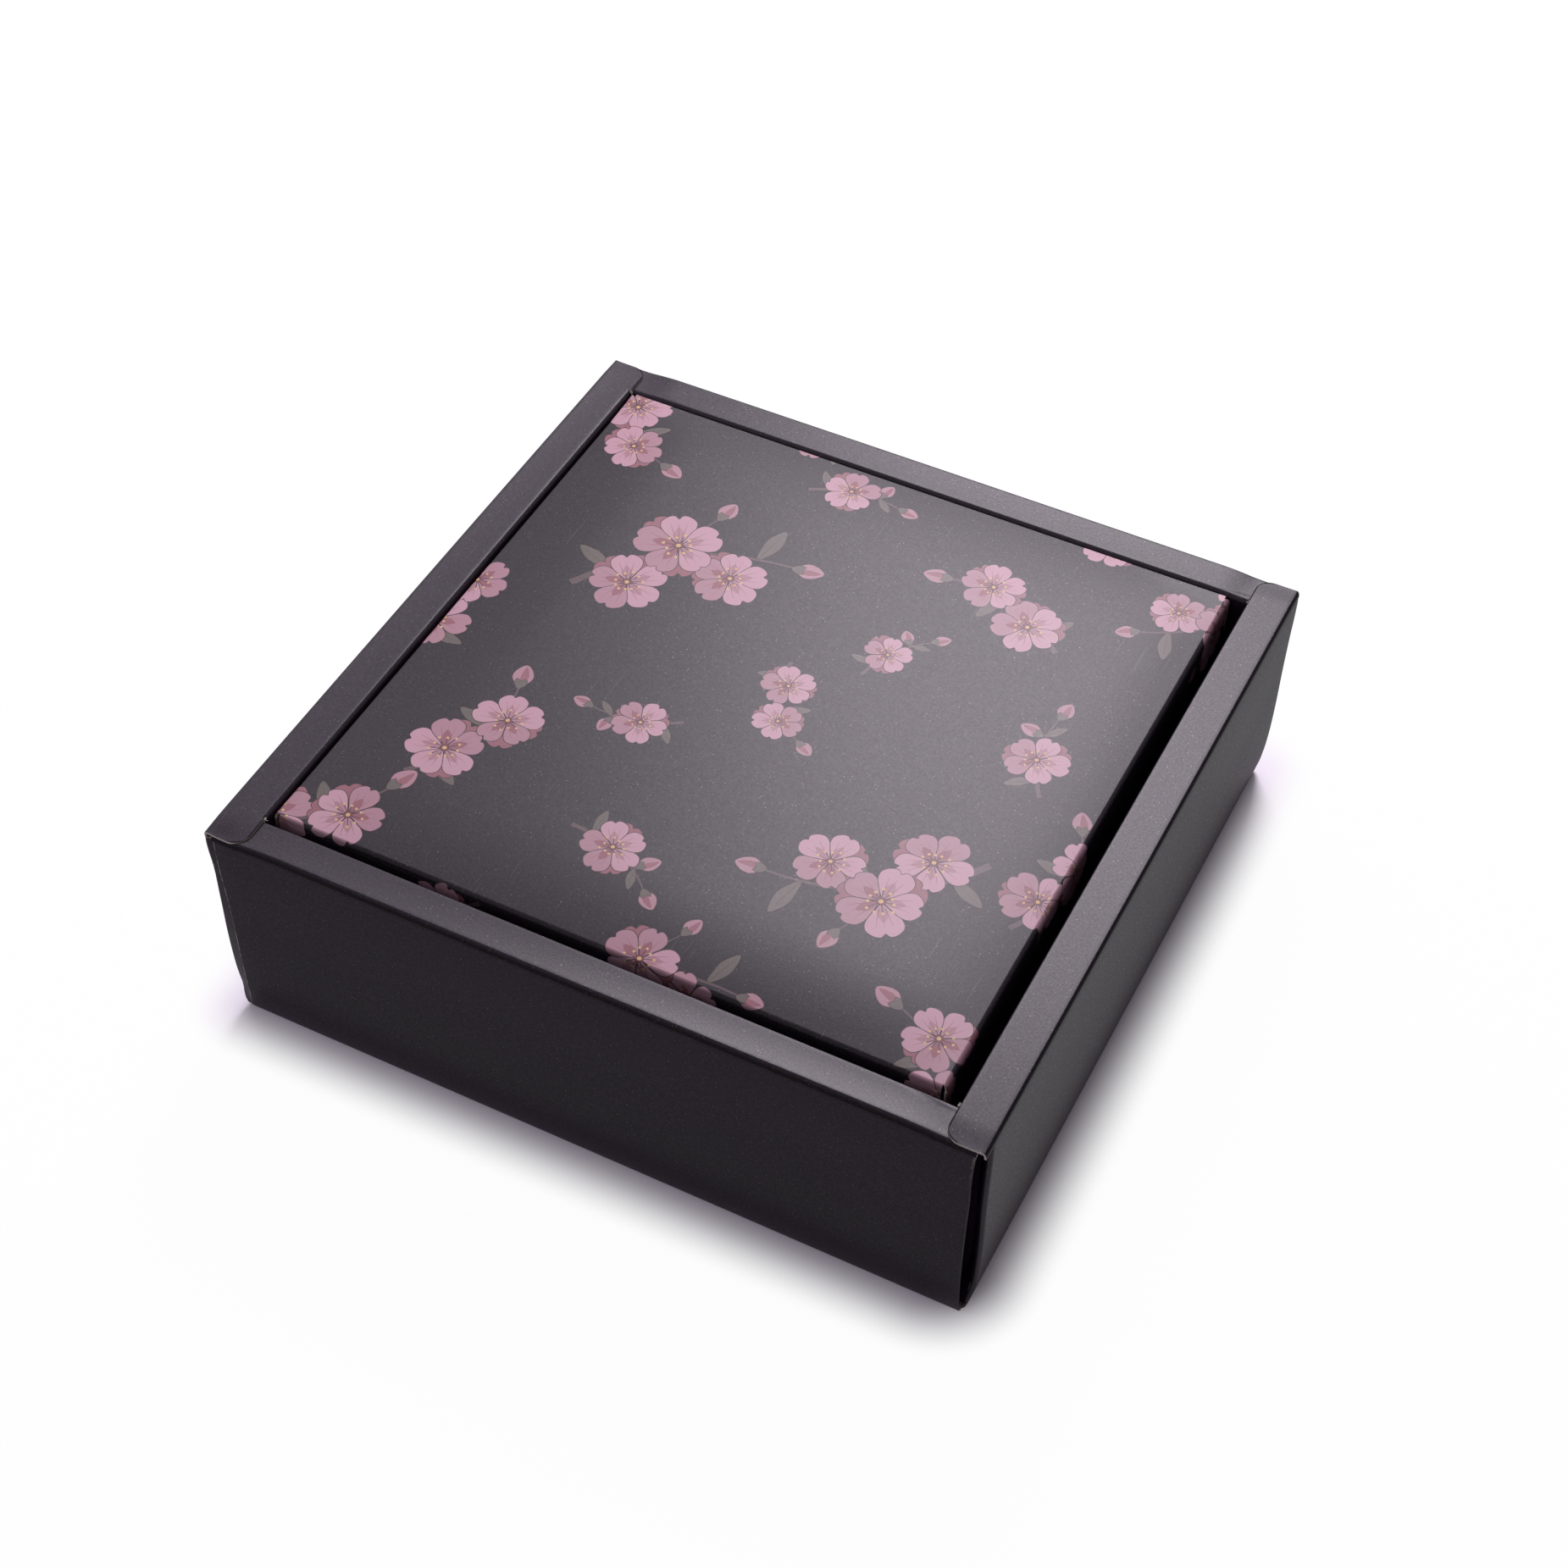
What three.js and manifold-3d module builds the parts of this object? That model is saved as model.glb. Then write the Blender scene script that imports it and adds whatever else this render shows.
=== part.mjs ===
// Gift box: a folded tray with hollow walls and a picture-frame rim, and a folded lid that drops
// into the tray's opening. Both are die-cut paperboard, so every piece is a sheet of one thickness.
// Millimetres, +Z up. The origin is under the middle of the tray, on the surface it stands on.
// +X is to the right along the front edge, and -Y is the front.

import * as THREE from "three";
import { mergeVertices } from "three/addons/utils/BufferGeometryUtils.js";
import Module from "manifold-3d";

// Driving dimensions of the board
const BOARD = 0.5; // thickness of the paperboard
const FOLD_RADIUS = 0.8; // of the printed face, round a crease of the tray
const LID_FOLD_RADIUS = 1; // of the printed face, round the lid's softer top creases
const GLUE_GAP = 0.3; // between layers that lie loose on each other

// Driving dimensions of the tray
const TRAY_WIDTH = 200; // across the folds of the left and right rails
const TRAY_DEPTH = 198.2; // across the folds of the front and back rails
const TRAY_HEIGHT = 66.3; // up to the top of the side rails
const SIDE_RAIL_WIDTH = 10; // left and right rails
const END_RAIL_WIDTH = 9.2; // front and back rails
const FOOT_INSET = 1.65; // how far each wall stands in at the floor
const FOOT_FLARE = THREE.MathUtils.degToRad(30); // lean of a wall as it leaves the floor's crease
const FOOT_PULL = 8; // length over which the flare at the foot fades
const HEAD_PULL = 21.5; // length over which the wall draws in again below the rail
const WALL_BULGE = 0.6; // pull of the bulge above the wall's middle
const TAB_INSET = 0.4; // from the end wall's fold to the edge of a side rail's tab
const TAB_RADIUS = 4; // rounded inner corner of a tab
const FLAP_WIDTH = 20; // of the glue flaps, over the floor
const CORNER_SLIT = 0.3; // between panels that meet at a corner
const END_WALL_INSET = 2.2; // from the side rails' folds in to the upright edges of an end wall
const SIDE_FOLD_FOOT = 0.8; // radius of a side wall's upright crease at the floor
const SIDE_FOLD_SHARE = 0.045; // how much it opens for each millimetre of height
const WEB_SLOPE_SHARE = 0.95; // reach of a corner web for each millimetre of height
const END_WEB_FIRST_STEP = 1; // step of the wall where an end web begins
const SIDE_WEB_FIRST_STEP = 2; // the same for a side web, which lies deeper in the hollow

// Driving dimensions of the lid
const LID_SLACK_X = 5.5; // how much narrower than the tray's opening the lid is
const LID_SLACK_Y = 3.3; // and how much less deep
const LID_DROP = 1.5; // from the rail tops down to the lid's top
const LID_WALL_GAP = 0.5; // left between the lid and the two walls it is pushed against
const LID_TAB_LENGTH = 16; // of the glued corner tabs
const LID_TAB_MARGIN = 4; // from the skirt's edges to a tab's edges at its fold
const LID_TAB_TAPER = 5; // how much further in a tab's edges end

// Steps of the round stretches
const FOLD_STEPS = 4;
const WALL_STEPS = 12;
const TAB_CORNER_STEPS = 8;

// Sizes that follow
const SIDE_TOP = TRAY_WIDTH / 2;
const END_TOP = TRAY_DEPTH / 2;
const OPENING_X = SIDE_TOP - SIDE_RAIL_WIDTH;
const OPENING_Y = END_TOP - END_RAIL_WIDTH;
const END_RAIL_TOP = TRAY_HEIGHT - BOARD;
const WALL_TOP = END_RAIL_TOP - FOLD_RADIUS;
const FLAP_TOP = 2 * BOARD;
const FLAP_CREASE_TOP = FLAP_TOP + FOLD_RADIUS - BOARD;
const HAIRPIN = 2 * FOLD_RADIUS; // across a board that is folded back on itself
const WEB_INSET = HAIRPIN + GLUE_GAP; // from an end wall's face in to the side web behind it
const END_WALL_HALF = SIDE_TOP - END_WALL_INSET;
const TAB_END = END_TOP - TAB_INSET;

const QUARTER = Math.PI / 2;

const BOARD_BLACK = new THREE.MeshStandardMaterial({ color: 0x2f2d31, roughness: 0.5, metalness: 0 });
const PRINTED = new THREE.MeshStandardMaterial({ color: 0x4a464a, roughness: 0.5, metalness: 0 });

const wasm = await Module();
wasm.setup();

// Closed solids

/** Signed volume of an indexed closed mesh; negative when its faces point in. */
function signedVolume(positions, index) {
  const corner = (k) => new THREE.Vector3().fromArray(positions, 3 * index[k]);
  let volume = 0;
  for (let k = 0; k < index.length; k += 3) {
    volume += corner(k).dot(corner(k + 1).cross(corner(k + 2)));
  }
  return volume;
}

/** A closed sheet between two grids of points of the same size: its printed face and its back. */
function sheetSolid(face, back) {
  const rows = face.length;
  const columns = face[0].length;
  const last = columns - 1;
  const positions = [face, back].flat(2).flatMap((point) => point.toArray());
  const at = (side, row, column) => (side * rows + row) * columns + column;
  const index = [];
  const quad = (a, b, c, d) => index.push(a, b, c, a, c, d);
  for (let i = 0; i + 1 < rows; i += 1) {
    for (let j = 0; j < last; j += 1) {
      quad(at(0, i, j), at(0, i, j + 1), at(0, i + 1, j + 1), at(0, i + 1, j));
      quad(at(1, i, j), at(1, i + 1, j), at(1, i + 1, j + 1), at(1, i, j + 1));
    }
    quad(at(0, i, 0), at(0, i + 1, 0), at(1, i + 1, 0), at(1, i, 0));
    quad(at(0, i + 1, last), at(0, i, last), at(1, i, last), at(1, i + 1, last));
  }
  for (let j = 0; j < last; j += 1) {
    quad(at(0, 0, j + 1), at(0, 0, j), at(1, 0, j), at(1, 0, j + 1));
    quad(at(0, rows - 1, j), at(0, rows - 1, j + 1), at(1, rows - 1, j + 1), at(1, rows - 1, j));
  }
  if (signedVolume(positions, index) < 0) {
    index.reverse();
  }
  const geometry = new THREE.BufferGeometry();
  geometry.setAttribute("position", new THREE.Float32BufferAttribute(positions, 3));
  geometry.setIndex(index);
  return geometry;
}

/** A closed geometry as a solid that can be joined and cut. */
function toSolid(geometry) {
  const bare = geometry.clone();
  bare.deleteAttribute("normal");
  bare.deleteAttribute("uv");
  const merged = mergeVertices(bare);
  const vertProperties = new Float32Array(merged.attributes.position.array);
  const triVerts = new Uint32Array(merged.index.array);
  return new wasm.Manifold(new wasm.Mesh({ numProp: 3, vertProperties, triVerts }));
}

/** The geometry of a solid. */
function toGeometry(solid) {
  const { vertProperties, triVerts } = solid.getMesh();
  const geometry = new THREE.BufferGeometry();
  geometry.setAttribute("position", new THREE.BufferAttribute(vertProperties, 3));
  geometry.setIndex(new THREE.BufferAttribute(triVerts, 1));
  return geometry;
}

// Folded profiles. A profile is a row of stations across a fold, each with a point on the printed
// face and the point behind it. Its points are [out, z], where out is the distance from the middle.

/** Stations round a crease, from one angle to another, about a centre in [out, z]. */
function creaseStations([out, z], radius, from, to) {
  return Array.from({ length: FOLD_STEPS + 1 }, (_, k) => {
    const angle = from + ((to - from) * k) / FOLD_STEPS;
    const on = (r) => [out + r * Math.cos(angle), z + r * Math.sin(angle)];
    return { face: on(radius), back: on(radius - BOARD) };
  });
}

/** Stations up an outer wall whose rail folds at wallOut: the foot's crease, then the bowed panel. */
function wallStations(wallOut) {
  const foot = wallOut - FOOT_INSET;
  const crease = creaseStations([foot - FOLD_RADIUS, FOLD_RADIUS], FOLD_RADIUS, -QUARTER, -FOOT_FLARE);
  const start = new THREE.Vector2(...crease.at(-1).face);
  const lean = new THREE.Vector2(Math.sin(FOOT_FLARE), Math.cos(FOOT_FLARE));
  const curve = new THREE.CubicBezierCurve(
    start,
    start.clone().addScaledVector(lean, FOOT_PULL),
    new THREE.Vector2(wallOut + WALL_BULGE, WALL_TOP - HEAD_PULL),
    new THREE.Vector2(wallOut, WALL_TOP),
  );
  const panel = curve.getPoints(WALL_STEPS).slice(1);
  const level = panel.map(({ x, y }) => ({ face: [x, y], back: [x - BOARD, y] }));
  return [...crease, ...level];
}

/** Stations over a rail: up from the outer wall, round, across, round and down to the inner wall. */
function railStations(wallOut, width, top) {
  const crease = top - FOLD_RADIUS;
  const inner = wallOut - width;
  const foot = { face: [wallOut, WALL_TOP], back: [wallOut - BOARD, WALL_TOP] };
  const outerFold = creaseStations([wallOut - FOLD_RADIUS, crease], FOLD_RADIUS, 0, QUARTER);
  const innerFold = creaseStations([inner + FOLD_RADIUS, crease], FOLD_RADIUS, QUARTER, 2 * QUARTER);
  return crease > WALL_TOP ? [foot, ...outerFold, ...innerFold] : [...outerFold, ...innerFold];
}

/** Stations from the foot of an inner wall, round the crease and over the floor to a flap's edge. */
function flapStations(inner) {
  const centre = [inner - FOLD_RADIUS + BOARD, FLAP_CREASE_TOP];
  const crease = creaseStations(centre, FOLD_RADIUS, 0, -QUARTER);
  const turned = crease.map(({ face, back }) => ({ face: back, back: face }));
  const edge = inner - FLAP_WIDTH;
  return [...turned, { face: [edge, FLAP_TOP], back: [edge, BOARD] }];
}

// Sides and corners

const SIDES = {
  front: { out: [0, -1], along: [1, 0] },
  right: { out: [1, 0], along: [0, 1] },
  back: { out: [0, 1], along: [-1, 0] },
  left: { out: [-1, 0], along: [0, -1] },
};
const isEnd = (side) => SIDES[side].out[0] === 0;

/** The point of a side at a distance out from the middle, along the side and up. */
function onSide(side, out, along, z) {
  const { out: n, along: t } = SIDES[side];
  return new THREE.Vector3(n[0] * out + t[0] * along, n[1] * out + t[1] * along, z);
}

/** A panel folded across a side: stations, and the half length of the panel at each station. */
function foldedPanel(side, stations, halfLength) {
  const grid = (key) =>
    stations.map((station, k) => {
      const [out, z] = station[key];
      const half = halfLength(station, k);
      return [onSide(side, out, -half, z), onSide(side, out, half, z)];
    });
  return sheetSolid(grid("face"), grid("back"));
}

/** A flat upright board behind the plane out, between two heights. */
function uprightPanel(side, out, half, bottom, top) {
  const stations = [bottom, top].map((z) => ({ face: [out, z], back: [out + BOARD, z] }));
  return foldedPanel(side, stations, () => half);
}

/** A level board with its underside at z. */
function levelPanel(x0, x1, y0, y1, z) {
  const geometry = new THREE.BoxGeometry(x1 - x0, y1 - y0, BOARD);
  return geometry.translate((x0 + x1) / 2, (y0 + y1) / 2, z + BOARD / 2);
}

// The tray's panels

const wallOutOf = (side) => (isEnd(side) ? END_TOP : SIDE_TOP);
const openingOf = (side) => (isEnd(side) ? OPENING_Y : OPENING_X);
const openingHalfOf = (side) => (isEnd(side) ? OPENING_X : OPENING_Y);

/** The base, up to the creases at the feet of the walls. */
function trayFloor() {
  const x = SIDE_TOP - FOOT_INSET - FOLD_RADIUS;
  const y = END_TOP - FOOT_INSET - FOLD_RADIUS;
  return levelPanel(-x, x, -y, y, 0);
}

/** Radius of a side wall's upright crease at a height. It is softer towards the rail. */
const sideFoldRadius = (z) => SIDE_FOLD_FOOT + SIDE_FOLD_SHARE * z;

/** An outer wall. The side walls follow the lean of the end walls beside them. */
function outerWall(side) {
  const stations = wallStations(wallOutOf(side));
  const webFaces = wallStations(END_TOP).map(({ face }) => face[0] - WEB_INSET);
  const endHalf = END_WALL_HALF - FOLD_RADIUS;
  const half = ({ face }, k) => (isEnd(side) ? endHalf : webFaces[k] - sideFoldRadius(face[1]));
  return foldedPanel(side, stations, half);
}

/** A front or back rail, which ends below the side rails' tabs. */
function endRail(side) {
  const stations = railStations(END_TOP, END_RAIL_WIDTH, END_RAIL_TOP);
  const opening = OPENING_X - CORNER_SLIT;
  const innerFold = (k) => k >= stations.length - FOLD_STEPS;
  return foldedPanel(side, stations, (_, k) => (innerFold(k) ? opening : END_WALL_HALF - FOLD_RADIUS));
}

/** The level plate of a side rail, with a rounded tab at each end that laps over the end rails. */
function railPlate() {
  const fold = SIDE_TOP - FOLD_RADIUS;
  const neck = OPENING_X + FOLD_RADIUS;
  const neckHalf = OPENING_Y - CORNER_SLIT;
  const bend = TAB_END - TAB_RADIUS;
  const shape = new THREE.Shape();
  shape.moveTo(fold, -TAB_END);
  shape.lineTo(fold, TAB_END);
  shape.lineTo(OPENING_X + TAB_RADIUS, TAB_END);
  shape.absarc(OPENING_X + TAB_RADIUS, bend, TAB_RADIUS, QUARTER, 2 * QUARTER);
  shape.lineTo(OPENING_X, neckHalf);
  shape.lineTo(neck, neckHalf);
  shape.lineTo(neck, -neckHalf);
  shape.lineTo(OPENING_X, -neckHalf);
  shape.absarc(OPENING_X + TAB_RADIUS, -bend, TAB_RADIUS, 2 * QUARTER, 3 * QUARTER);
  const options = { depth: BOARD, bevelEnabled: false, curveSegments: TAB_CORNER_STEPS };
  return new THREE.ExtrudeGeometry(shape, options).translate(0, 0, TRAY_HEIGHT - BOARD);
}

/** A left or right rail: the plate with its tabs, the outer fold and the shorter inner fold. */
function sideRail(side) {
  const stations = railStations(SIDE_TOP, SIDE_RAIL_WIDTH, TRAY_HEIGHT);
  const outerFold = foldedPanel(side, stations.slice(0, -FOLD_STEPS - 1), () => TAB_END);
  const innerFold = foldedPanel(side, stations.slice(-FOLD_STEPS - 1), () => OPENING_Y - CORNER_SLIT);
  const plate = railPlate();
  if (side === "left") {
    plate.rotateZ(Math.PI);
  }
  return toGeometry(toSolid(plate).add(toSolid(outerFold)).add(toSolid(innerFold)));
}

/** An inner wall, from its flap's crease up to its rail's crease. */
function innerWall(side) {
  const top = (isEnd(side) ? END_RAIL_TOP : TRAY_HEIGHT) - FOLD_RADIUS;
  return uprightPanel(side, openingOf(side), openingHalfOf(side) - CORNER_SLIT, FLAP_CREASE_TOP, top);
}

/** A mitred flap at the foot of an inner wall, glued down on the floor. */
function floorFlap(side) {
  const inner = openingOf(side);
  const half = openingHalfOf(side) - CORNER_SLIT;
  return foldedPanel(side, flapStations(inner), ({ face }) => half - Math.max(inner - face[0], 0));
}

// The corner webs: the board between two walls, folded in on the diagonal. One half is turned back
// behind the end wall, the other comes off the side wall and lies behind the first.

/** A web on one corner: a path in plan for each wall height, from the side wall's and end wall's lean. */
function cornerWeb([signX, signY], firstStep, planPath) {
  const side = wallStations(SIDE_TOP).slice(FOLD_STEPS + firstStep);
  const end = wallStations(END_TOP).slice(FOLD_STEPS + firstStep);
  const rows = end.map(({ face: [v, z] }, k) => ({ z, path: planPath(side[k].face[0], v, z) }));
  const grid = (key) =>
    rows.map(({ z, path }) =>
      path.map((place) => {
        const [u, v] = place[key];
        return new THREE.Vector3(signX * u, signY * v, z);
      }),
    );
  return sheetSolid(grid("face"), grid("back"));
}

/** The half that is turned back behind the front or back wall. */
function endWeb(corner) {
  return cornerWeb(corner, END_WEB_FIRST_STEP, (_, v, z) => {
    const centre = [END_WALL_HALF - FOLD_RADIUS, v - FOLD_RADIUS];
    const fold = creaseStations(centre, FOLD_RADIUS, QUARTER, -QUARTER);
    const reach = centre[0] - WEB_SLOPE_SHARE * z;
    const plate = { face: [reach, v - HAIRPIN], back: [reach, v - HAIRPIN + BOARD] };
    return [...fold, plate];
  });
}

/** The half that turns in off the left or right wall, softly, and crosses behind the end web. */
function sideWeb(corner) {
  return cornerWeb(corner, SIDE_WEB_FIRST_STEP, (u, v, z) => {
    const radius = sideFoldRadius(z);
    const behind = v - WEB_INSET;
    const fold = creaseStations([u - radius, behind - radius], radius, 0, QUARTER);
    const reach = u - radius - WEB_SLOPE_SHARE * z;
    const plate = { face: [reach, behind], back: [reach, behind - BOARD] };
    return [...fold, plate];
  });
}

// The lid's panels, about the lid's own middle, with its top at z 0

const LID_X = OPENING_X - LID_SLACK_X / 2;
const LID_Y = OPENING_Y - LID_SLACK_Y / 2;
const LID_TOP = TRAY_HEIGHT - LID_DROP;
const LID_HEIGHT = LID_TOP - FLAP_TOP;
const LID_END_HALF = LID_X - BOARD - FOLD_RADIUS;

/** The printed top panel, up to the creases of the skirts. */
function lidTop() {
  const x = LID_X - LID_FOLD_RADIUS;
  const y = LID_Y - LID_FOLD_RADIUS;
  return levelPanel(-x, x, -y, y, -BOARD);
}

/** A skirt: the soft top crease and the panel down to the tray's flaps. */
function lidSkirt(side) {
  const out = isEnd(side) ? LID_Y : LID_X;
  const topHalf = (isEnd(side) ? LID_X : LID_Y) - LID_FOLD_RADIUS;
  const lowHalf = isEnd(side) ? LID_END_HALF : LID_Y - CORNER_SLIT;
  const centre = [out - LID_FOLD_RADIUS, -LID_FOLD_RADIUS];
  const crease = creaseStations(centre, LID_FOLD_RADIUS, QUARTER, 0);
  const stations = [...crease, { face: [out, -LID_HEIGHT], back: [out - BOARD, -LID_HEIGHT] }];
  const half = (_, k) => THREE.MathUtils.lerp(topHalf, lowHalf, Math.min(k / FOLD_STEPS, 1));
  return foldedPanel(side, stations, half);
}

/** A tapered tab off the end of a front or back skirt, glued behind the side skirt. */
function lidCornerTab([signX, signY]) {
  const centre = [LID_END_HALF, LID_Y - FOLD_RADIUS];
  const fold = creaseStations(centre, FOLD_RADIUS, QUARTER, 0);
  const x = LID_X - BOARD;
  const y = centre[1] - LID_TAB_LENGTH;
  const path = [...fold, { face: [x, y], back: [x - BOARD, y] }];
  const grid = (key) =>
    path.map((place, k) => {
      const margin = LID_TAB_MARGIN + (k === path.length - 1 ? LID_TAB_TAPER : 0);
      const [u, v] = place[key];
      return [-LID_HEIGHT + margin, -margin].map((z) => new THREE.Vector3(signX * u, signY * v, z));
    });
  return sheetSolid(grid("face"), grid("back"));
}

// The assembly

/** A named piece added to its group. */
function addPiece(group, name, geometry, material) {
  const mesh = new THREE.Mesh(geometry, material.clone());
  mesh.name = name;
  mesh.geometry.computeVertexNormals();
  group.add(mesh);
}

const CORNERS = {
  front_left: [-1, -1],
  front_right: [1, -1],
  back_left: [-1, 1],
  back_right: [1, 1],
};

/** The tray: one folded sheet with hollow walls. */
function tray() {
  const group = new THREE.Group();
  addPiece(group, "tray_floor", trayFloor(), BOARD_BLACK);
  for (const side of Object.keys(SIDES)) {
    addPiece(group, `outer_wall_${side}`, outerWall(side), BOARD_BLACK);
    addPiece(group, `rail_${side}`, isEnd(side) ? endRail(side) : sideRail(side), BOARD_BLACK);
    addPiece(group, `inner_wall_${side}`, innerWall(side), BOARD_BLACK);
    addPiece(group, `floor_flap_${side}`, floorFlap(side), BOARD_BLACK);
  }
  for (const [name, corner] of Object.entries(CORNERS)) {
    addPiece(group, `end_web_${name}`, endWeb(corner), BOARD_BLACK);
    addPiece(group, `side_web_${name}`, sideWeb(corner), BOARD_BLACK);
  }
  return group;
}

/** The lid: a folded, glued cover that stands on the tray's flaps, pushed to the left and the back. */
function lid() {
  const group = new THREE.Group();
  addPiece(group, "lid_top", lidTop(), PRINTED);
  for (const side of Object.keys(SIDES)) {
    addPiece(group, `lid_skirt_${side}`, lidSkirt(side), PRINTED);
  }
  for (const [name, corner] of Object.entries(CORNERS)) {
    addPiece(group, `lid_corner_tab_${name}`, lidCornerTab(corner), PRINTED);
  }
  const x = LID_X + LID_WALL_GAP - OPENING_X;
  const y = OPENING_Y - LID_WALL_GAP - LID_Y;
  group.position.set(x, y, LID_TOP);
  return group;
}

const giftBox = new THREE.Group();
giftBox.add(tray(), lid());

export default giftBox;
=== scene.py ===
"""The looks of a folded gift box: a black board tray with hollow walls, and a printed, folded lid.

Every board follows the sizes of the CAD node that it stands for. Lengths are in millimetres until a
mesh is made, which is in metres. +Z is up, -Y is the front and +X is to the right.
"""

import logging
import math
import random
from dataclasses import dataclass, field, replace
from enum import Enum
from typing import Any, Callable, Iterable, Optional, Sequence

import bpy
from mathutils import Matrix, Vector, noise
from mathutils.geometry import delaunay_2d_cdt


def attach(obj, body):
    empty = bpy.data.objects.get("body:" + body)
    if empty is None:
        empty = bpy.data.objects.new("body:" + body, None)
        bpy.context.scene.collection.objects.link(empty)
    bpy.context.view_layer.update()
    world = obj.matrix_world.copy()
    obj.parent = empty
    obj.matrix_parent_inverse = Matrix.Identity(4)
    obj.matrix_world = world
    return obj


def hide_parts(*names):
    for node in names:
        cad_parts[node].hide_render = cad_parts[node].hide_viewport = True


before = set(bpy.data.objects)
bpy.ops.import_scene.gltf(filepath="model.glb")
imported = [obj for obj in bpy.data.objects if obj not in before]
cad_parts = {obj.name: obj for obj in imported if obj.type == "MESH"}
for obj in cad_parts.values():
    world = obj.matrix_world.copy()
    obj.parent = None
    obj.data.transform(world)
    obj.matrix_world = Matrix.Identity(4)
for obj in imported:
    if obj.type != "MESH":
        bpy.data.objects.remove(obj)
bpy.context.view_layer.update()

log = logging.getLogger("gift_box")

MM = 0.001
QUARTER = math.pi / 2
Colour = tuple[int, int, int]
Pair = tuple[float, float]
Triple = tuple[float, float, float]


def linear(colour: Colour) -> tuple[float, float, float, float]:
    """Turns a colour as written, 0 to 255, into the linear colour that shaders and meshes use.

    Args:
        colour: Red, green and blue from 0 to 255.

    Returns:
        Linear red, green and blue, and an alpha of 1.
    """
    parts = [c / 255 for c in colour]
    bent = [p / 12.92 if p <= 0.04045 else ((p + 0.055) / 1.055) ** 2.4 for p in parts]
    return (bent[0], bent[1], bent[2], 1.0)


def smooth_step(low: float, high: float, value: float) -> float:
    """Rises smoothly from 0 at low to 1 at high.

    Args:
        low: Where the rise begins.
        high: Where the rise ends.
        value: The place on it.

    Returns:
        A number from 0 to 1.
    """
    t = min(max((value - low) / (high - low), 0.0), 1.0)
    return t * t * (3 - 2 * t)


class Side(Enum):
    """The four sides of the tray and of the lid."""

    FRONT = "front"
    RIGHT = "right"
    BACK = "back"
    LEFT = "left"

    @property
    def out(self) -> Vector:
        """Direction from the middle out to this side."""
        ways = {"front": (0, -1, 0), "right": (1, 0, 0), "back": (0, 1, 0), "left": (-1, 0, 0)}
        return Vector(ways[self.value])

    @property
    def along(self) -> Vector:
        """Direction along this side, anticlockwise seen from above."""
        return Vector((-self.out.y, self.out.x, 0))

    @property
    def is_end(self) -> bool:
        """True for the front and the back, which lie under the side rails' tabs."""
        return self in (Side.FRONT, Side.BACK)

    def place(self, out: float, along: float, up: float) -> Vector:
        """Finds a point of this side.

        Args:
            out: Distance out from the middle.
            along: Distance along the side from its middle.
            up: Height.

        Returns:
            The point, in the same unit.
        """
        return self.out * out + self.along * along + Vector((0, 0, up))


class Corner(Enum):
    """The four corners, as the signs of their X and Y."""

    FRONT_LEFT = (-1, -1)
    FRONT_RIGHT = (1, -1)
    BACK_LEFT = (-1, 1)
    BACK_RIGHT = (1, 1)

    @property
    def words(self) -> str:
        """The corner's name as it stands in node names."""
        return self.name.lower()

    @property
    def end(self) -> Side:
        """The front or the back side that meets this corner."""
        return Side.FRONT if self.value[1] < 0 else Side.BACK

    @classmethod
    def of(cls, side: Side, way: int) -> "Corner":
        """The corner at one end of a side.

        Args:
            side: The side.
            way: The direction along it, -1 or 1.

        Returns:
            The corner.
        """
        place = side.out + side.along * way
        return cls((round(place.x), round(place.y)))


def operator(operation: str, reflected: bool = False) -> Callable[["Value", Any], "Value"]:
    """Makes an operator of Value, which adds a Math node.

    Args:
        operation: The Math node's operation.
        reflected: True where the value stands on the right.

    Returns:
        The operator.
    """

    def method(self: "Value", other: Any) -> "Value":
        """The result of the Math node on this value and another."""
        values = (other, self) if reflected else (self, other)
        return self.graph.maths(operation, *values)

    return method


class Value:
    """A node's output in a Python expression: arithmetic on it adds Math nodes."""

    def __init__(self, graph: "Graph", socket: bpy.types.NodeSocket) -> None:
        """Wraps an output socket of a graph."""
        self.graph = graph
        self.socket = socket

    def also(self, name: str) -> "Value":
        """Another output of the same node."""
        return Value(self.graph, find_socket(self.socket.node.outputs, name))

    def maths(self, operation: str, *others: Any) -> "Value":
        """The result of a Math node on this value and others."""
        return self.graph.maths(operation, self, *others)

    __add__ = __radd__ = operator("ADD")
    __mul__ = __rmul__ = operator("MULTIPLY")
    __sub__ = operator("SUBTRACT")
    __rsub__ = operator("SUBTRACT", reflected=True)
    __truediv__ = operator("DIVIDE")
    most = operator("MAXIMUM")
    least = operator("MINIMUM")

    def between(self, low: float, high: float, start: float = 0.0, end: float = 1.0) -> "Value":
        """This value carried smoothly from one range to another, and held at its ends.

        Args:
            low: The value that gives start.
            high: The value that gives end.
            start: Result at low.
            end: Result at high.

        Returns:
            The new value.
        """
        inputs = {"Value": self, "From Min": low, "From Max": high, "To Min": start, "To Max": end}
        return self.graph.node("ShaderNodeMapRange", inputs, interpolation_type="SMOOTHSTEP")


def find_socket(sockets: Any, key: Any) -> bpy.types.NodeSocket:
    """Finds a socket by its number, or the enabled one of a name.

    Args:
        sockets: A node's inputs or outputs.
        key: Number or name.

    Returns:
        The socket.
    """
    if isinstance(key, int):
        return sockets[key]
    return next(s for s in sockets if s.name == key and s.enabled)


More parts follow.
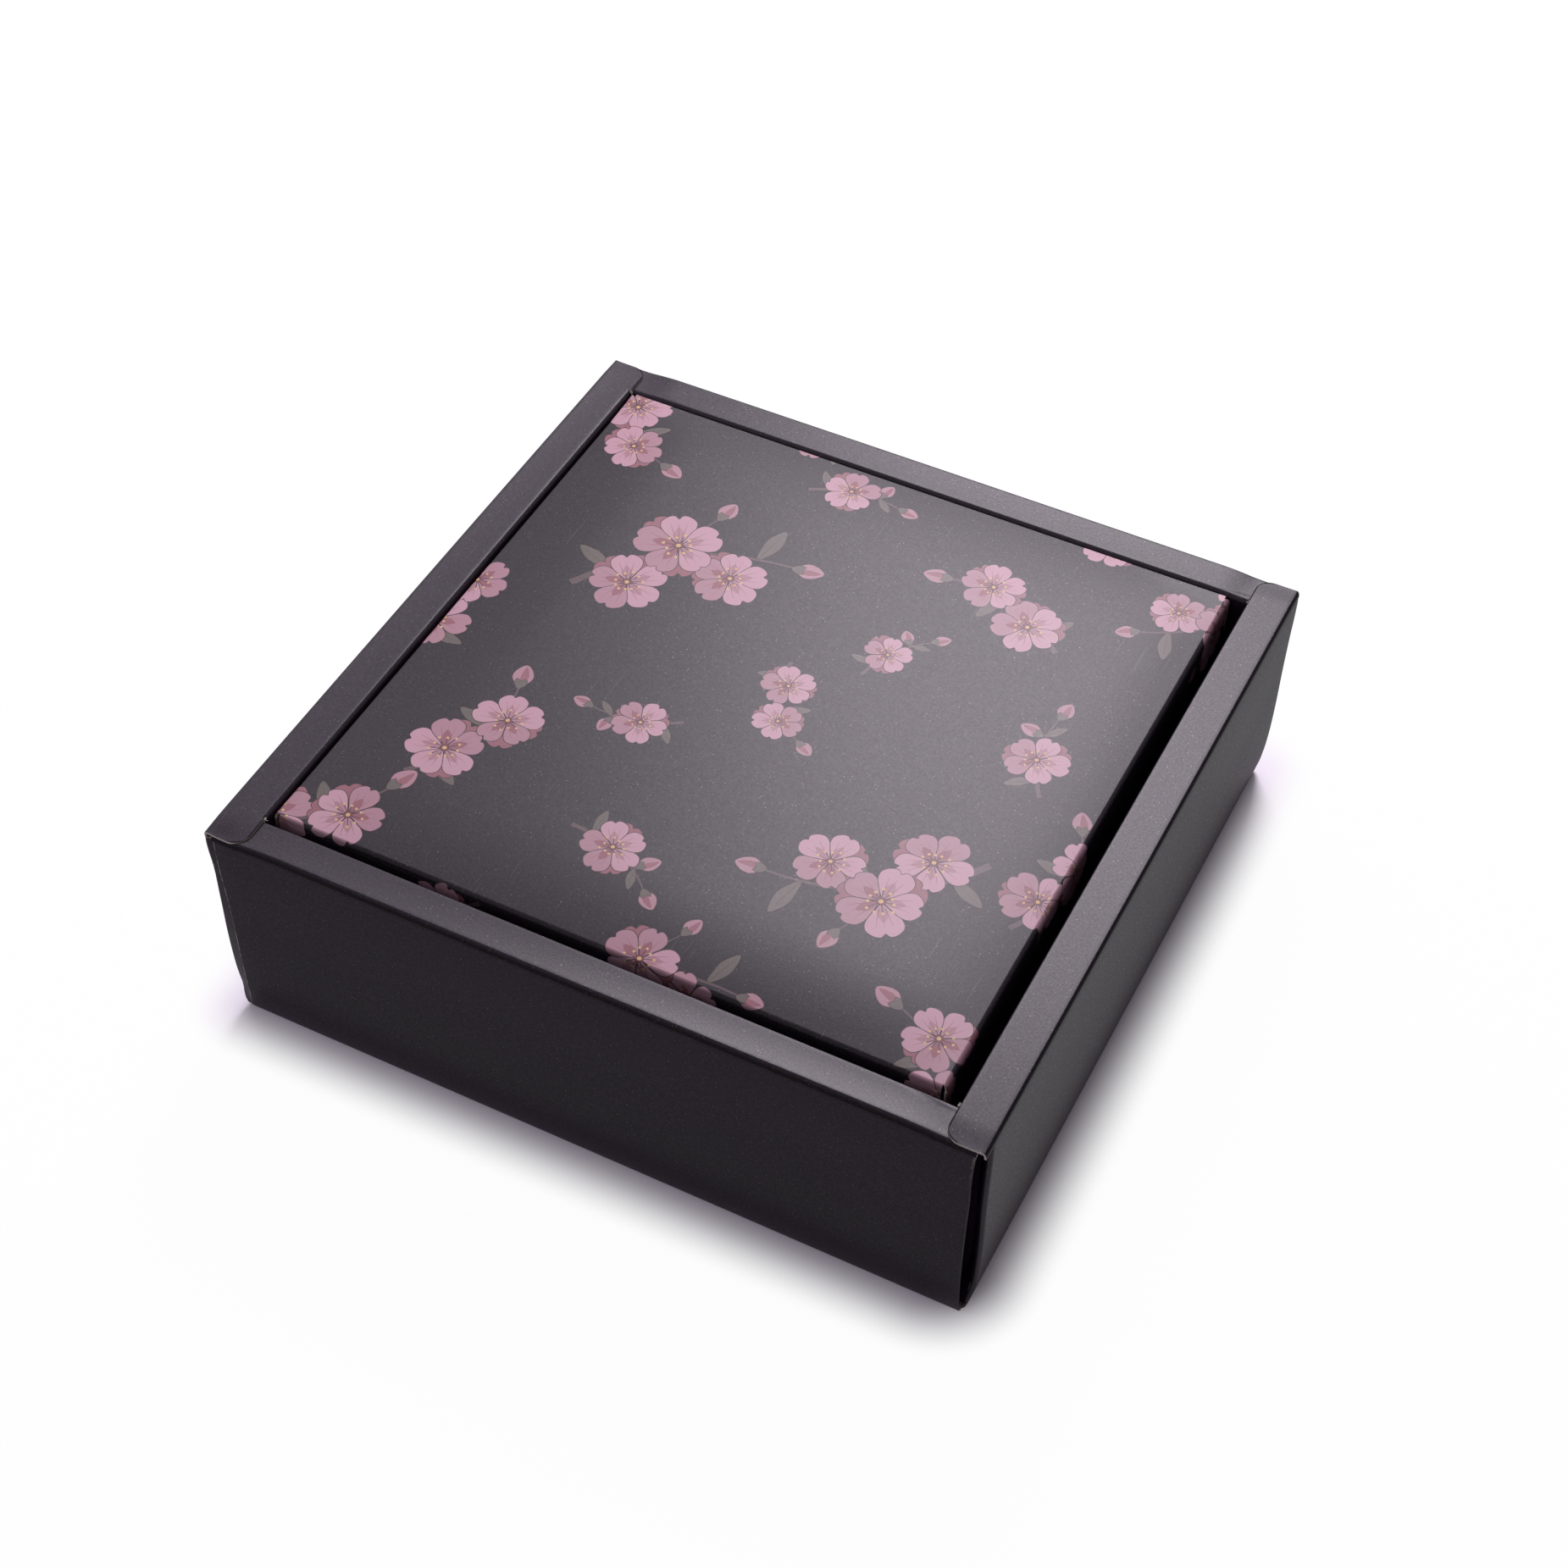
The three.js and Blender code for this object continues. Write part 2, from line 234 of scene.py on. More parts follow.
class Graph:
    """A node tree that is written as calls and expressions."""

    def __init__(self, tree: bpy.types.NodeTree) -> None:
        """Starts on a tree, from which any nodes are cleared."""
        self.tree = tree
        tree.nodes.clear()

    def node(self, kind: str, inputs: Optional[dict] = None, **settings: Any) -> Value:
        """Adds a node.

        Args:
            kind: The node's type.
            inputs: Values or links by the socket's name or number.
            **settings: Its properties, set before its sockets are touched.

        Returns:
            Its first enabled output, or its first input where it has no output.
        """
        made = self.tree.nodes.new(kind)
        for name, value in settings.items():
            setattr(made, name, value)
        for key, value in (inputs or {}).items():
            socket = find_socket(made.inputs, key)
            if isinstance(value, Value):
                self.tree.links.new(value.socket, socket)
            else:
                socket.default_value = value
        shown = [s for s in made.outputs if s.enabled] or list(made.inputs)
        return Value(self, shown[0])

    def maths(self, operation: str, *values: Any) -> Value:
        """The result of a Math node."""
        return self.node("ShaderNodeMath", dict(enumerate(values)), operation=operation)

    def vector_maths(self, operation: str, *values: Any) -> Value:
        """The result of a Vector Math node, as a vector."""
        return self.node("ShaderNodeVectorMath", dict(enumerate(values)), operation=operation)

    def scaled(self, vector: Value, by: Value) -> Value:
        """A vector times a number."""
        return self.node("ShaderNodeVectorMath", {0: vector, "Scale": by}, operation="SCALE")

    def noise(self, point: Value, scale: float, detail: float) -> Value:
        """A Noise Texture of a scale in a metre."""
        return self.node("ShaderNodeTexNoise", {"Vector": point, "Scale": scale, "Detail": detail})

    def mapped(self, point: Value, scale: Sequence[float], rotation: Sequence[float] = (0, 0, 0)) -> Value:
        """A point turned and stretched."""
        inputs = {"Vector": point, "Rotation": rotation, "Scale": scale}
        return self.node("ShaderNodeMapping", inputs)

    def attribute(self, name: str) -> Value:
        """A number that the mesh holds."""
        return self.node("ShaderNodeAttribute", attribute_name=name).also("Fac")

    def bump(self, height: Value, strength: float, distance: float) -> Value:
        """A normal that follows fine relief."""
        inputs = {"Strength": strength, "Distance": distance, "Height": height}
        return self.node("ShaderNodeBump", inputs)

    def mix(self, factor: Any, first: Any, second: Any) -> Value:
        """Blends two colours.

        Args:
            factor: Share of the second.
            first: Colour at 0.
            second: Colour at 1.

        Returns:
            The blended colour.
        """
        inputs = {"Factor": factor, "A": first, "B": second}
        return self.node("ShaderNodeMix", inputs, data_type="RGBA")

    def mix_shaders(self, factor: Any, first: Value, second: Value) -> Value:
        """A Mix Shader of two shaders."""
        return self.node("ShaderNodeMixShader", {0: factor, 1: first, 2: second})


# Finishes

MOST_NOISE = (0.3, 0.7)  # the range that nearly all of a noise lies in


@dataclass(frozen=True)
class Finish:
    """A finish of a surface: its name and how rough it is."""

    name: str
    roughness: float = 0.5

    def coat(self, graph: Graph, point: Value) -> Value:
        """Adds the shader that this finish is made of."""
        raise NotImplementedError

    def rough(self, cloud: Value, by: float) -> Value:
        """The roughness, which a cloudy noise raises and lowers."""
        return cloud.between(*MOST_NOISE, self.roughness - by, self.roughness + by)

    def material(self) -> bpy.types.Material:
        """Makes the material, or finds it where it was made before.

        Returns:
            The material.
        """
        made = bpy.data.materials.get(self.name)
        if made is None:
            made = bpy.data.materials.new(self.name)
            made.use_nodes = True
            graph = Graph(made.node_tree)
            point = graph.node("ShaderNodeTexCoord").also("Object")
            graph.node("ShaderNodeOutputMaterial", {"Surface": self.coat(graph, point)})
        return made


@dataclass(frozen=True)
class Laminate(Finish):
    """Black board under a satin film, with fine pearly grain; creases carry painted shade, which darkens
    the ink and takes away film, and are a little less rough.

    Scales and cells are counts in a metre.
    """

    name: str = "black_laminate"
    roughness: float = 0.7
    roughness_range: float = 0.06
    ground: Colour = (28, 15, 33)
    # painted shade: the colour that creases darken towards
    crease_shade_colour: Colour = (9, 7, 10)
    fleck: Colour = (150, 142, 146)
    worn: Colour = (150, 142, 128)
    cloud_scale: float = 90.0
    grain_scale: float = 1900.0
    grain_range: Pair = (0.02, 0.04)  # share of the fleck colour in the ground
    grain_shine: Pair = (0.9, 1.04)
    grain_height: float = 0.00002
    grain_relief: float = 0.035
    fleck_cells: float = 1150.0
    fleck_size: float = 0.2  # share of a cell
    fleck_share: float = 0.5  # share of the cells that hold one
    fleck_strength: float = 0.2
    fleck_shine: float = 1.5
    scuff_scale: float = 1800.0
    scuff_stretch: Triple = (1.0, 0.03, 1.0)
    scuff_turn: Triple = (0.3, 0.2, 0.7)
    scuff_lines: Pair = (0.73, 0.79)
    scuff_patches: float = 45.0
    scuffed: Pair = (0.56, 0.68)
    scuff_strength: float = 0.07
    wear_scale: float = 420.0
    wear_breaks: Pair = (0.35, 0.6)
    crease_shade_share: float = 0.85  # share of the ink that a crease's painted shade hides
    crease_shade_film: float = 0.85  # share of the film's shine that a crease's painted shade takes away
    crease_polish: float = 0.1  # how much less rough a crease is
    film: float = 0.33
    grazing_film: float = 0.05
    grazing: Pair = (0.42, 0.75)
    film_roughness: float = 0.3

    def ink(self, graph: Graph, point: Value) -> Any:
        """The colour under the film, before its flecks."""
        return linear(self.ground)

    def flecks(self, graph: Graph, point: Value) -> Value:
        """Scatters pearly flecks.

        Args:
            graph: The material's graph.
            point: Object coordinates.

        Returns:
            A mask, 1 in the middle of the brightest flecks.
        """
        cell = graph.node("ShaderNodeTexVoronoi", {"Vector": point, "Scale": self.fleck_cells})
        lot = graph.node("ShaderNodeSeparateColor", {"Color": cell.also("Color")})
        near = 1 - cell.between(self.fleck_size * 0.4, self.fleck_size)
        return near * lot.between(1 - self.fleck_share, 1.0)

    def scuffs(self, graph: Graph, point: Value) -> Value:
        """Fine short scratches from handling.

        Args:
            graph: The material's graph.
            point: Object coordinates.

        Returns:
            A mask, 1 in the middle of the deepest scratches.
        """
        aslant = graph.mapped(point, self.scuff_stretch, self.scuff_turn)
        lines = graph.noise(aslant, self.scuff_scale, 0.0)
        patches = graph.noise(point, self.scuff_patches, 1.0)
        return lines.between(*self.scuff_lines) * patches.between(*self.scuffed)

    def coat(self, graph: Graph, point: Value) -> Value:
        """Film over ink: a broad sheen, flecks, painted shade in the creases and fold lines that wear."""
        crease, wear = graph.attribute("crease"), graph.attribute("wear")
        cloud = graph.noise(point, self.cloud_scale, 3.0)
        broken = graph.noise(point, self.wear_scale, 2.0)
        grain = graph.noise(point, self.grain_scale, 1.0)
        flecks = self.flecks(graph, point)
        specks = flecks * self.fleck_strength + self.scuffs(graph, point) * self.scuff_strength
        aslant = graph.node("ShaderNodeLayerWeight", {"Blend": 0.5}).also("Facing")
        # painted shade: the mesh's crease attribute darkens the ink in creases
        colour = graph.mix(crease * self.crease_shade_share, self.ink(graph, point), linear(self.crease_shade_colour))
        colour = graph.mix(grain.between(*MOST_NOISE, *self.grain_range), colour, linear(self.fleck))
        colour = graph.mix(specks, colour, linear(self.fleck))
        colour = graph.mix(wear * broken.between(*self.wear_breaks), colour, linear(self.worn))
        shine = aslant.between(*self.grazing, self.film, self.film + self.grazing_film)
        grained = grain.between(*MOST_NOISE, *self.grain_shine) + flecks * self.fleck_shine
        inputs = {
            "Base Color": colour,
            "Roughness": self.rough(cloud, self.roughness_range) - crease * self.crease_polish,
            "Normal": graph.bump(grain, self.grain_relief, self.grain_height),
            "Specular IOR Level": 0.0,
            # painted shade: creases also lose most of the coat's reflection
            "Coat Weight": grained * (1 - crease * self.crease_shade_film) * shine,
            "Coat Roughness": self.film_roughness,
        }
        return graph.node("ShaderNodeBsdfPrincipled", inputs)


@dataclass(frozen=True)
class PrintedLaminate(Laminate):
    """The lid's board: the same film over a print, whose inks are held by the mesh."""

    name: str = "printed_laminate"
    # painted shade in the lid's creases, lighter than on the tray
    crease_shade_share: float = 0.5
    crease_shade_film: float = 0.6

    def ink(self, graph: Graph, point: Value) -> Any:
        """The ink at each place of the sheet."""
        return graph.node("ShaderNodeAttribute", attribute_name="ink")


@dataclass(frozen=True)
class BareBoard(Finish):
    """The unprinted back of the board: warm grey pulp with darker and paler fibres."""

    name: str = "bare_board"
    roughness: float = 0.85
    pulp: Colour = (176, 169, 158)
    dark: Colour = (128, 120, 110)
    pale: Colour = (206, 201, 192)

    roughness_range: float = 0.05
    fibre_scale: float = 1500.0  # in a metre
    fibre_stretch: Triple = (1.0, 0.35, 1.0)
    fibre_height: float = 0.00004
    fibre_relief: float = 0.3
    dark_fibres: Pair = (0.55, 0.72)
    dark_share: float = 0.5
    pale_fibres: Pair = (0.3, 0.42)
    pale_share: float = 0.6
    cloud_scale: float = 130.0  # in a metre
    cloud_share: float = 0.25

    def coat(self, graph: Graph, point: Value) -> Value:
        """Pulp with short fibres that lie one way."""
        fibre = graph.noise(graph.mapped(point, self.fibre_stretch), self.fibre_scale, 4.0)
        cloud = graph.noise(point, self.cloud_scale, 2.0)
        dark = fibre.between(*self.dark_fibres) * self.dark_share
        pale = self.pale_share - fibre.between(*self.pale_fibres) * self.pale_share
        colour = graph.mix(dark, linear(self.pulp), linear(self.dark))
        colour = graph.mix(pale, colour, linear(self.pale))
        clouds = cloud.between(0.3, 0.8) * self.cloud_share
        colour = graph.mix(clouds, colour, linear(self.pale))
        inputs = {
            "Base Color": colour,
            "Roughness": self.rough(cloud, self.roughness_range),
            "Normal": graph.bump(fibre, self.fibre_relief, self.fibre_height),
            "Specular IOR Level": 0.3,
        }
        return graph.node("ShaderNodeBsdfPrincipled", inputs)


@dataclass(frozen=True)
class CutEdge(BareBoard):
    """The raw edge that the die leaves, darkened in places by the knife."""

    name: str = "cut_edge"
    roughness: float = 0.8
    pulp: Colour = (158, 151, 140)
    dark: Colour = (88, 82, 76)
    pale: Colour = (190, 184, 174)


@dataclass(frozen=True)
class TornPaper(BareBoard):
    """Fibres that tore out of the board at the ends of the slits."""

    name: str = "torn_paper"
    roughness: float = 0.9
    pulp: Colour = (216, 211, 202)
    dark: Colour = (186, 179, 168)
    pale: Colour = (228, 225, 218)


LAMINATE = Laminate()
PRINTED = PrintedLaminate()
BARE = BareBoard()
CUT = CutEdge()
TORN = TornPaper()


# Boards


def drop_modifiers(piece: bpy.types.Object) -> None:
    """Turns an object with modifiers into a plain mesh that has their result.

    Args:
        piece: The object.
    """
    graph = bpy.context.evaluated_depsgraph_get()
    made = bpy.data.meshes.new_from_object(piece.evaluated_get(graph))
    old = piece.data
    piece.modifiers.clear()
    piece.data = made
    made.name = piece.name
    bpy.data.meshes.remove(old)


def place_object(name: str, mesh: bpy.types.Mesh) -> bpy.types.Object:
    """Puts a mesh into the scene at the origin.

    Args:
        name: The object's name.
        mesh: Its mesh.

    Returns:
        The object.
    """
    piece = bpy.data.objects.new(name, mesh)
    bpy.context.scene.collection.objects.link(piece)
    return piece


def hold_crease_shade(mesh: bpy.types.Mesh, crease: Sequence[float]) -> None:
    """Gives a mesh its painted crease shade, and wear that is 0 everywhere."""
    mesh.attributes.new("crease", "FLOAT", "POINT").data.foreach_set("value", crease)
    mesh.attributes.new("wear", "FLOAT", "POINT")


class Grower:
    """A Geometry Nodes tree that grows a piece from a bare mesh."""

    def __init__(self, name: str, wanted: dict[str, str], result: str) -> None:
        """Makes the tree with its sockets.

        Args:
            name: The tree's name.
            wanted: The kinds of its inputs by their names.
            result: The name of its output.
        """
        self.tree = bpy.data.node_groups.new(name, "GeometryNodeTree")
        self.result = result
        for label, kind in wanted.items():
            self.tree.interface.new_socket(name=label, in_out="INPUT", socket_type=f"NodeSocket{kind}")
        self.tree.interface.new_socket(name=result, in_out="OUTPUT", socket_type="NodeSocketGeometry")
        self.graph = Graph(self.tree)
        given = self.graph.node("NodeGroupInput")
        self.given = {label: given.also(label) for label in wanted}

    def end(self, geometry: Value, material: Value) -> None:
        """Ends the tree with real points and a material."""
        whole = self.graph.node("GeometryNodeRealizeInstances", {"Geometry": geometry})
        inputs = {"Geometry": whole, "Material": material}
        dressed = self.graph.node("GeometryNodeSetMaterial", inputs)
        self.graph.node("NodeGroupOutput", {self.result: dressed})

    def grow(self, name: str, mesh: bpy.types.Mesh, values: dict[str, Any]) -> bpy.types.Object:
        """Grows a piece, and drops the modifier that grew it.

        Args:
            name: The piece's name.
            mesh: The bare mesh.
            values: The tree's inputs by their names.

        Returns:
            The piece as a plain mesh.
        """
        piece = place_object(name, mesh)
        growth = piece.modifiers.new(self.tree.name, "NODES")
        growth.node_group = self.tree
        for item in self.tree.interface.items_tree:
            if item.in_out == "INPUT" and item.name in values:
                growth[item.identifier] = values[item.name]
        drop_modifiers(piece)
        return piece


SAME_POINT = 2000  # points are one where their places agree when multiplied by this and rounded


@dataclass
class Sheet:
    """The printed face of a board, gathered from grids of points that share their seams."""

    points: list[Vector] = field(default_factory=list)
    faces: list[tuple[int, ...]] = field(default_factory=list)
    crease: list[float] = field(default_factory=list)
    known: dict[tuple[int, ...], int] = field(default_factory=dict)

    def point(self, place: Vector, crease: float = 0.0) -> int:
        """Adds a point, or finds it where another grid has it.

        Args:
            place: The point in millimetres.
            crease: How much painted crease shade it carries, from 0 to 1.

        Returns:
            Its number.
        """
        key = tuple(round(c * SAME_POINT) for c in place)
        if key not in self.known:
            self.known[key] = len(self.points)
            self.points.append(place)
            self.crease.append(crease)
        return self.known[key]

    def grid(self, rows: Sequence[Sequence[tuple[Vector, float]]]) -> None:
        """Adds a grid of points and the faces between them.

        Args:
            rows: Rows of the same length, each of points with their painted crease shade.
        """
        numbers = [[self.point(*entry) for entry in row] for row in rows]
        for low, high in zip(numbers, numbers[1:]):
            for k in range(len(low) - 1):
                corners = dict.fromkeys((low[k], low[k + 1], high[k + 1], high[k]))
                if len(corners) > 2:
                    self.faces.append(tuple(corners))

    def mesh(self, name: str) -> bpy.types.Mesh:
        """Makes a mesh of the face, in metres.

        Args:
            name: The mesh's name.

        Returns:
            The mesh.
        """
        made = bpy.data.meshes.new(name)
        made.from_pydata([p * MM for p in self.points], [], self.faces)
        hold_crease_shade(made, self.crease)
        return made


@dataclass(frozen=True)
class Press:
    """Gives boards their thickness and their finishes, and settles them as handled board settles."""

    board: float = 0.5
    edge_angle: float = math.radians(40)

    def thicken(self, name: str, mesh: bpy.types.Mesh, shown: Vector, face: Finish) -> bpy.types.Object:
        """Makes a board from its printed face.

        Args:
            name: The piece's name.
            mesh: The printed face.
            shown: The direction that most of the printed face looks in.
            face: Its finish.

        Returns:
            The finished board.
        """
        mesh.update()
        if sum(f.area * f.normal.dot(shown) for f in mesh.polygons) < 0:
            mesh.flip_normals()
        mesh.materials.clear()
        for finish in (face, BARE, CUT):
            mesh.materials.append(finish.material())
        piece = place_object(name, mesh)
        growth = piece.modifiers.new("board", "SOLIDIFY")
        growth.thickness = self.board * MM
        growth.offset = -1
        growth.use_even_offset = True
        growth.use_quality_normals = True
        growth.material_offset = 1
        growth.material_offset_rim = 2
        drop_modifiers(piece)
        piece.data.shade_smooth()
        piece.data.set_sharp_from_angle(angle=self.edge_angle)
        return piece

    def settle(self, piece: bpy.types.Object, shift: Callable[[Vector], Vector]) -> None:
        """Moves a board's points by a smooth rule.

        Args:
            piece: The board.
            shift: Gives the move of a point; both are in millimetres.
        """
        for vertex in piece.data.vertices:
            vertex.co += shift(vertex.co / MM) * MM
        piece.data.update()


@dataclass(frozen=True)
class End:
    """How a row of a folded strip ends: its half length, and the upright fold that it turns round."""

    half: float = 0.0
    fold: float = 0.0
    turn: float = 0.0
    wear: float = 0.0


END_VALUES = ("half", "fold", "turn", "wear")


@dataclass(frozen=True)
class Station:
    """A row of a folded strip: where its printed face runs, and how it ends."""

    out: float
    up: float
    crease: float = 0.0
    start: End = End()
    end: End = End()


class StripTree(Grower):
    """Geometry Nodes that sweep a folded profile along a side and turn its ends round upright folds."""

    worn_angle = math.radians(38)
    worn_width = math.radians(20)
    seam = 1e-6

    def __init__(self) -> None:
        """Builds the tree."""
        wanted = {"Stations": "Geometry", "Flat steps": "Int", "Fold steps": "Int"}
        wanted |= {"Along": "Vector", "Out": "Vector", "Board": "Material"}
        super().__init__("folded_strip", wanted, "Strip")
        graph, given = self.graph, self.given
        flat_steps, fold_steps = given["Flat steps"], given["Fold steps"]

        columns = flat_steps + fold_steps * 2 + 1
        count = graph.node("GeometryNodeAttributeDomainSize", {"Geometry": given["Stations"]})
        sizes = {"Size X": 1.0, "Size Y": 1.0, "Vertices X": count, "Vertices Y": columns}
        net = graph.node("GeometryNodeMeshGrid", sizes)

        index = graph.node("GeometryNodeInputIndex")
        row = ((index + 0.5) / columns).maths("FLOOR")
        column = index - row * columns - fold_steps
        flat = (column / flat_steps).most(0.0).least(1.0)
        before = (column * -1).most(0.0) / fold_steps.most(1.0)
        after = (column - flat_steps).most(0.0) / fold_steps.most(1.0)

        place = self._sample(graph.node("GeometryNodeInputPosition"), row, "FLOAT_VECTOR")
        # the crease attribute carries painted shade, taken for each row
        crease = self._named("crease", row)
        reach, inward, worn = flat * 0.0, flat * 0.0, flat * 0.0
        for end, way, share, beyond in (("start", -1, 1 - flat, before), ("end", 1, flat, after)):
            half, fold, turn, wear = (self._named(f"{end}_{k}", row) for k in END_VALUES)
            angle = beyond * turn
            reach = reach + (share * half + fold * angle.maths("SINE")) * way
            inward = inward + fold * (1 - angle.maths("COSINE"))
            off_ridge = ((angle - self.worn_angle) / self.worn_width).maths("ABSOLUTE")
            worn = worn + (1 - off_ridge.least(1.0)) * wear
        moved = graph.vector_maths("ADD", place, graph.scaled(given["Along"], reach))
        moved = graph.vector_maths("ADD", moved, graph.scaled(given["Out"], inward * -1))
        laid = graph.node("GeometryNodeSetPosition", {"Geometry": net, "Position": moved})
        for name, value in (("crease", crease), ("wear", worn)):
            inputs = {"Geometry": laid, "Name": name, "Value": value}
            kinds = {"data_type": "FLOAT", "domain": "POINT"}
            laid = graph.node("GeometryNodeStoreNamedAttribute", inputs, **kinds)
        inputs = {"Geometry": laid, "Distance": self.seam}
        joined = graph.node("GeometryNodeMergeByDistance", inputs)
        self.end(joined, given["Board"])

    def _named(self, name: str, row: Value) -> Value:
        """A named number at the station of a row."""
        kind = "GeometryNodeInputNamedAttribute"
        return self._sample(self.graph.node(kind, {"Name": name}, data_type="FLOAT"), row)

    def _sample(self, value: Value, row: Value, kind: str = "FLOAT") -> Value:
        """What a field is at the station of a row."""
        inputs = {"Geometry": self.given["Stations"], "Value": value, "Index": row}
        return self.graph.node("GeometryNodeSampleIndex", inputs, data_type=kind)

    def sweep(
        self,
        name: str,
        side: Side,
        stations: Sequence[Station],
        flat_steps: int,
        fold_steps: int,
    ) -> bpy.types.Mesh:
        """Sweeps stations along a side.

        Args:
            name: The mesh's name.
            side: The side that it runs along.
            stations: The rows of the profile, in order.
            flat_steps: Steps between its upright folds.
            fold_steps: Steps round each upright fold.

        Returns:
            The printed face as a mesh, in metres.
        """
        rail = bpy.data.meshes.new(name)
        places = [side.place(s.out, 0, s.up) * MM for s in stations]
        rail.from_pydata(places, [(k, k + 1) for k in range(len(places) - 1)], [])
        held = {"crease": [s.crease for s in stations]}
        for key in END_VALUES:
            unit = MM if key in ("half", "fold") else 1
            held[f"start_{key}"] = [getattr(s.start, key) * unit for s in stations]
            held[f"end_{key}"] = [getattr(s.end, key) * unit for s in stations]
        for key, values in held.items():
            rail.attributes.new(key, "FLOAT", "POINT").data.foreach_set("value", values)
        values = {
            "Flat steps": flat_steps,
            "Fold steps": fold_steps,
            "Along": tuple(side.along),
            "Out": tuple(side.out),
            "Board": LAMINATE.material(),
        }
        holder = self.grow(name, rail, values)
        made = holder.data
        bpy.data.objects.remove(holder)
        return made


ARC_DARKNESS = 0.6  # the lower, the wider a crease's painted shade
# the same for the lid's top creases, also painted shade
TOP_DARKNESS = 0.7


def arc(
    centre: Sequence[float],
    radii: Sequence[float],
    start: float,
    end: float,
    steps: int = 8,
    depth: float = 1.0,
    peak: float = 0.5,
) -> list[Station]:
    """Stations round a crease.

    Args:
        centre: Its centre, as distance out and height.
        radii: Its radius outwards and its radius upwards.
        start: First angle, 0 being straight out and a quarter turn straight up.
        end: Last angle.
        steps: Steps between them.
        depth: How dark its painted shade is at the darkest line, from 0 to 1.
        peak: Where that line is, as a share of the turn.

    Returns:
        The stations.
    """
    turned = []
    for k in range(steps + 1):
        angle = start + (end - start) * k / steps
        reach = peak if k / steps < peak else 1 - peak
        # painted shade: darkest at the peak of the crease, fading towards both ends
        dark = depth * max(math.cos(QUARTER * abs(k / steps - peak) / reach), 0) ** ARC_DARKNESS
        place = (centre[0] + radii[0] * math.cos(angle), centre[1] + radii[1] * math.sin(angle))
        turned.append(Station(*place, crease=dark))
    return turned


def ended(stations: Iterable[Station], rule: Callable[[Station, int], End]) -> list[Station]:
    """Gives stations their ends.

    Args:
        stations: The stations.
        rule: Gives the end of a station in a direction along its side, -1 or 1.

    Returns:
        The stations with both ends.
    """
    return [replace(s, start=rule(s, -1), end=rule(s, 1)) for s in stations]


@dataclass(frozen=True)
class Rail:
    """How a side's rail lies, and the painted shade on its folds and its wall.

    Lifts are heights over the rail's level, and the shades go from 0 to 1.
    """

    outer_fold: float = 0.6
    outer_lift: float = 0.0
    inner_fold: float = 0.8
    inner_lift: float = 0.0
    dark: float = 1.0  # painted shade at the outer fold's darkest line
    painted_shade_peak: float = 0.5  # where that line is, as a share of the fold's turn
    # painted shade on the wall close under the rail
    wall_shade: float = 0.0
    wall_shade_width: float = 1.0
    press: float = 0.0  # how far its ends are let down under the tabs
    press_from: float = 84.0
    # painted shade that dims the wall above its foot
    painted_dimming: float = 0.25


RAILS = {
    Side.FRONT: Rail(
        outer_fold=1.15,
        outer_lift=0.34,
        inner_fold=0.4,
        inner_lift=-0.1,
        painted_shade_peak=0.08,
        wall_shade=0.9,
        wall_shade_width=0.9,
        press=0.26,
        press_from=79.0,
        painted_dimming=0.55,
    ),
    Side.BACK: Rail(
        outer_fold=0.4,
        outer_lift=0.42,
        inner_fold=1.2,
        inner_lift=0.2,
        dark=0.3,
        wall_shade=0.3,
        press=0.42,
        press_from=80.0,
    ),
    Side.LEFT: Rail(
        outer_fold=0.5,
        outer_lift=-0.02,
        inner_fold=1.2,
        inner_lift=-0.2,
        dark=0.25,
        wall_shade=0.3,
        wall_shade_width=1.5,
    ),
    Side.RIGHT: Rail(
        outer_fold=0.75,
        outer_lift=-0.03,
        inner_fold=0.4,
        inner_lift=-0.05,
        painted_shade_peak=0.65,
        wall_shade=0.45,
        wall_shade_width=2.0,
        painted_dimming=0.2,
    ),
}


@dataclass(frozen=True)
class Course:
    """A number that changes with height: each change is added between two heights."""

    foot: float
    changes: tuple[Triple, ...] = ()

    def at(self, height: float) -> float:
        """The number at a height."""
        value = self.foot
        for by, low, high in self.changes:
            value += by * smooth_step(low, high, height)
        return value


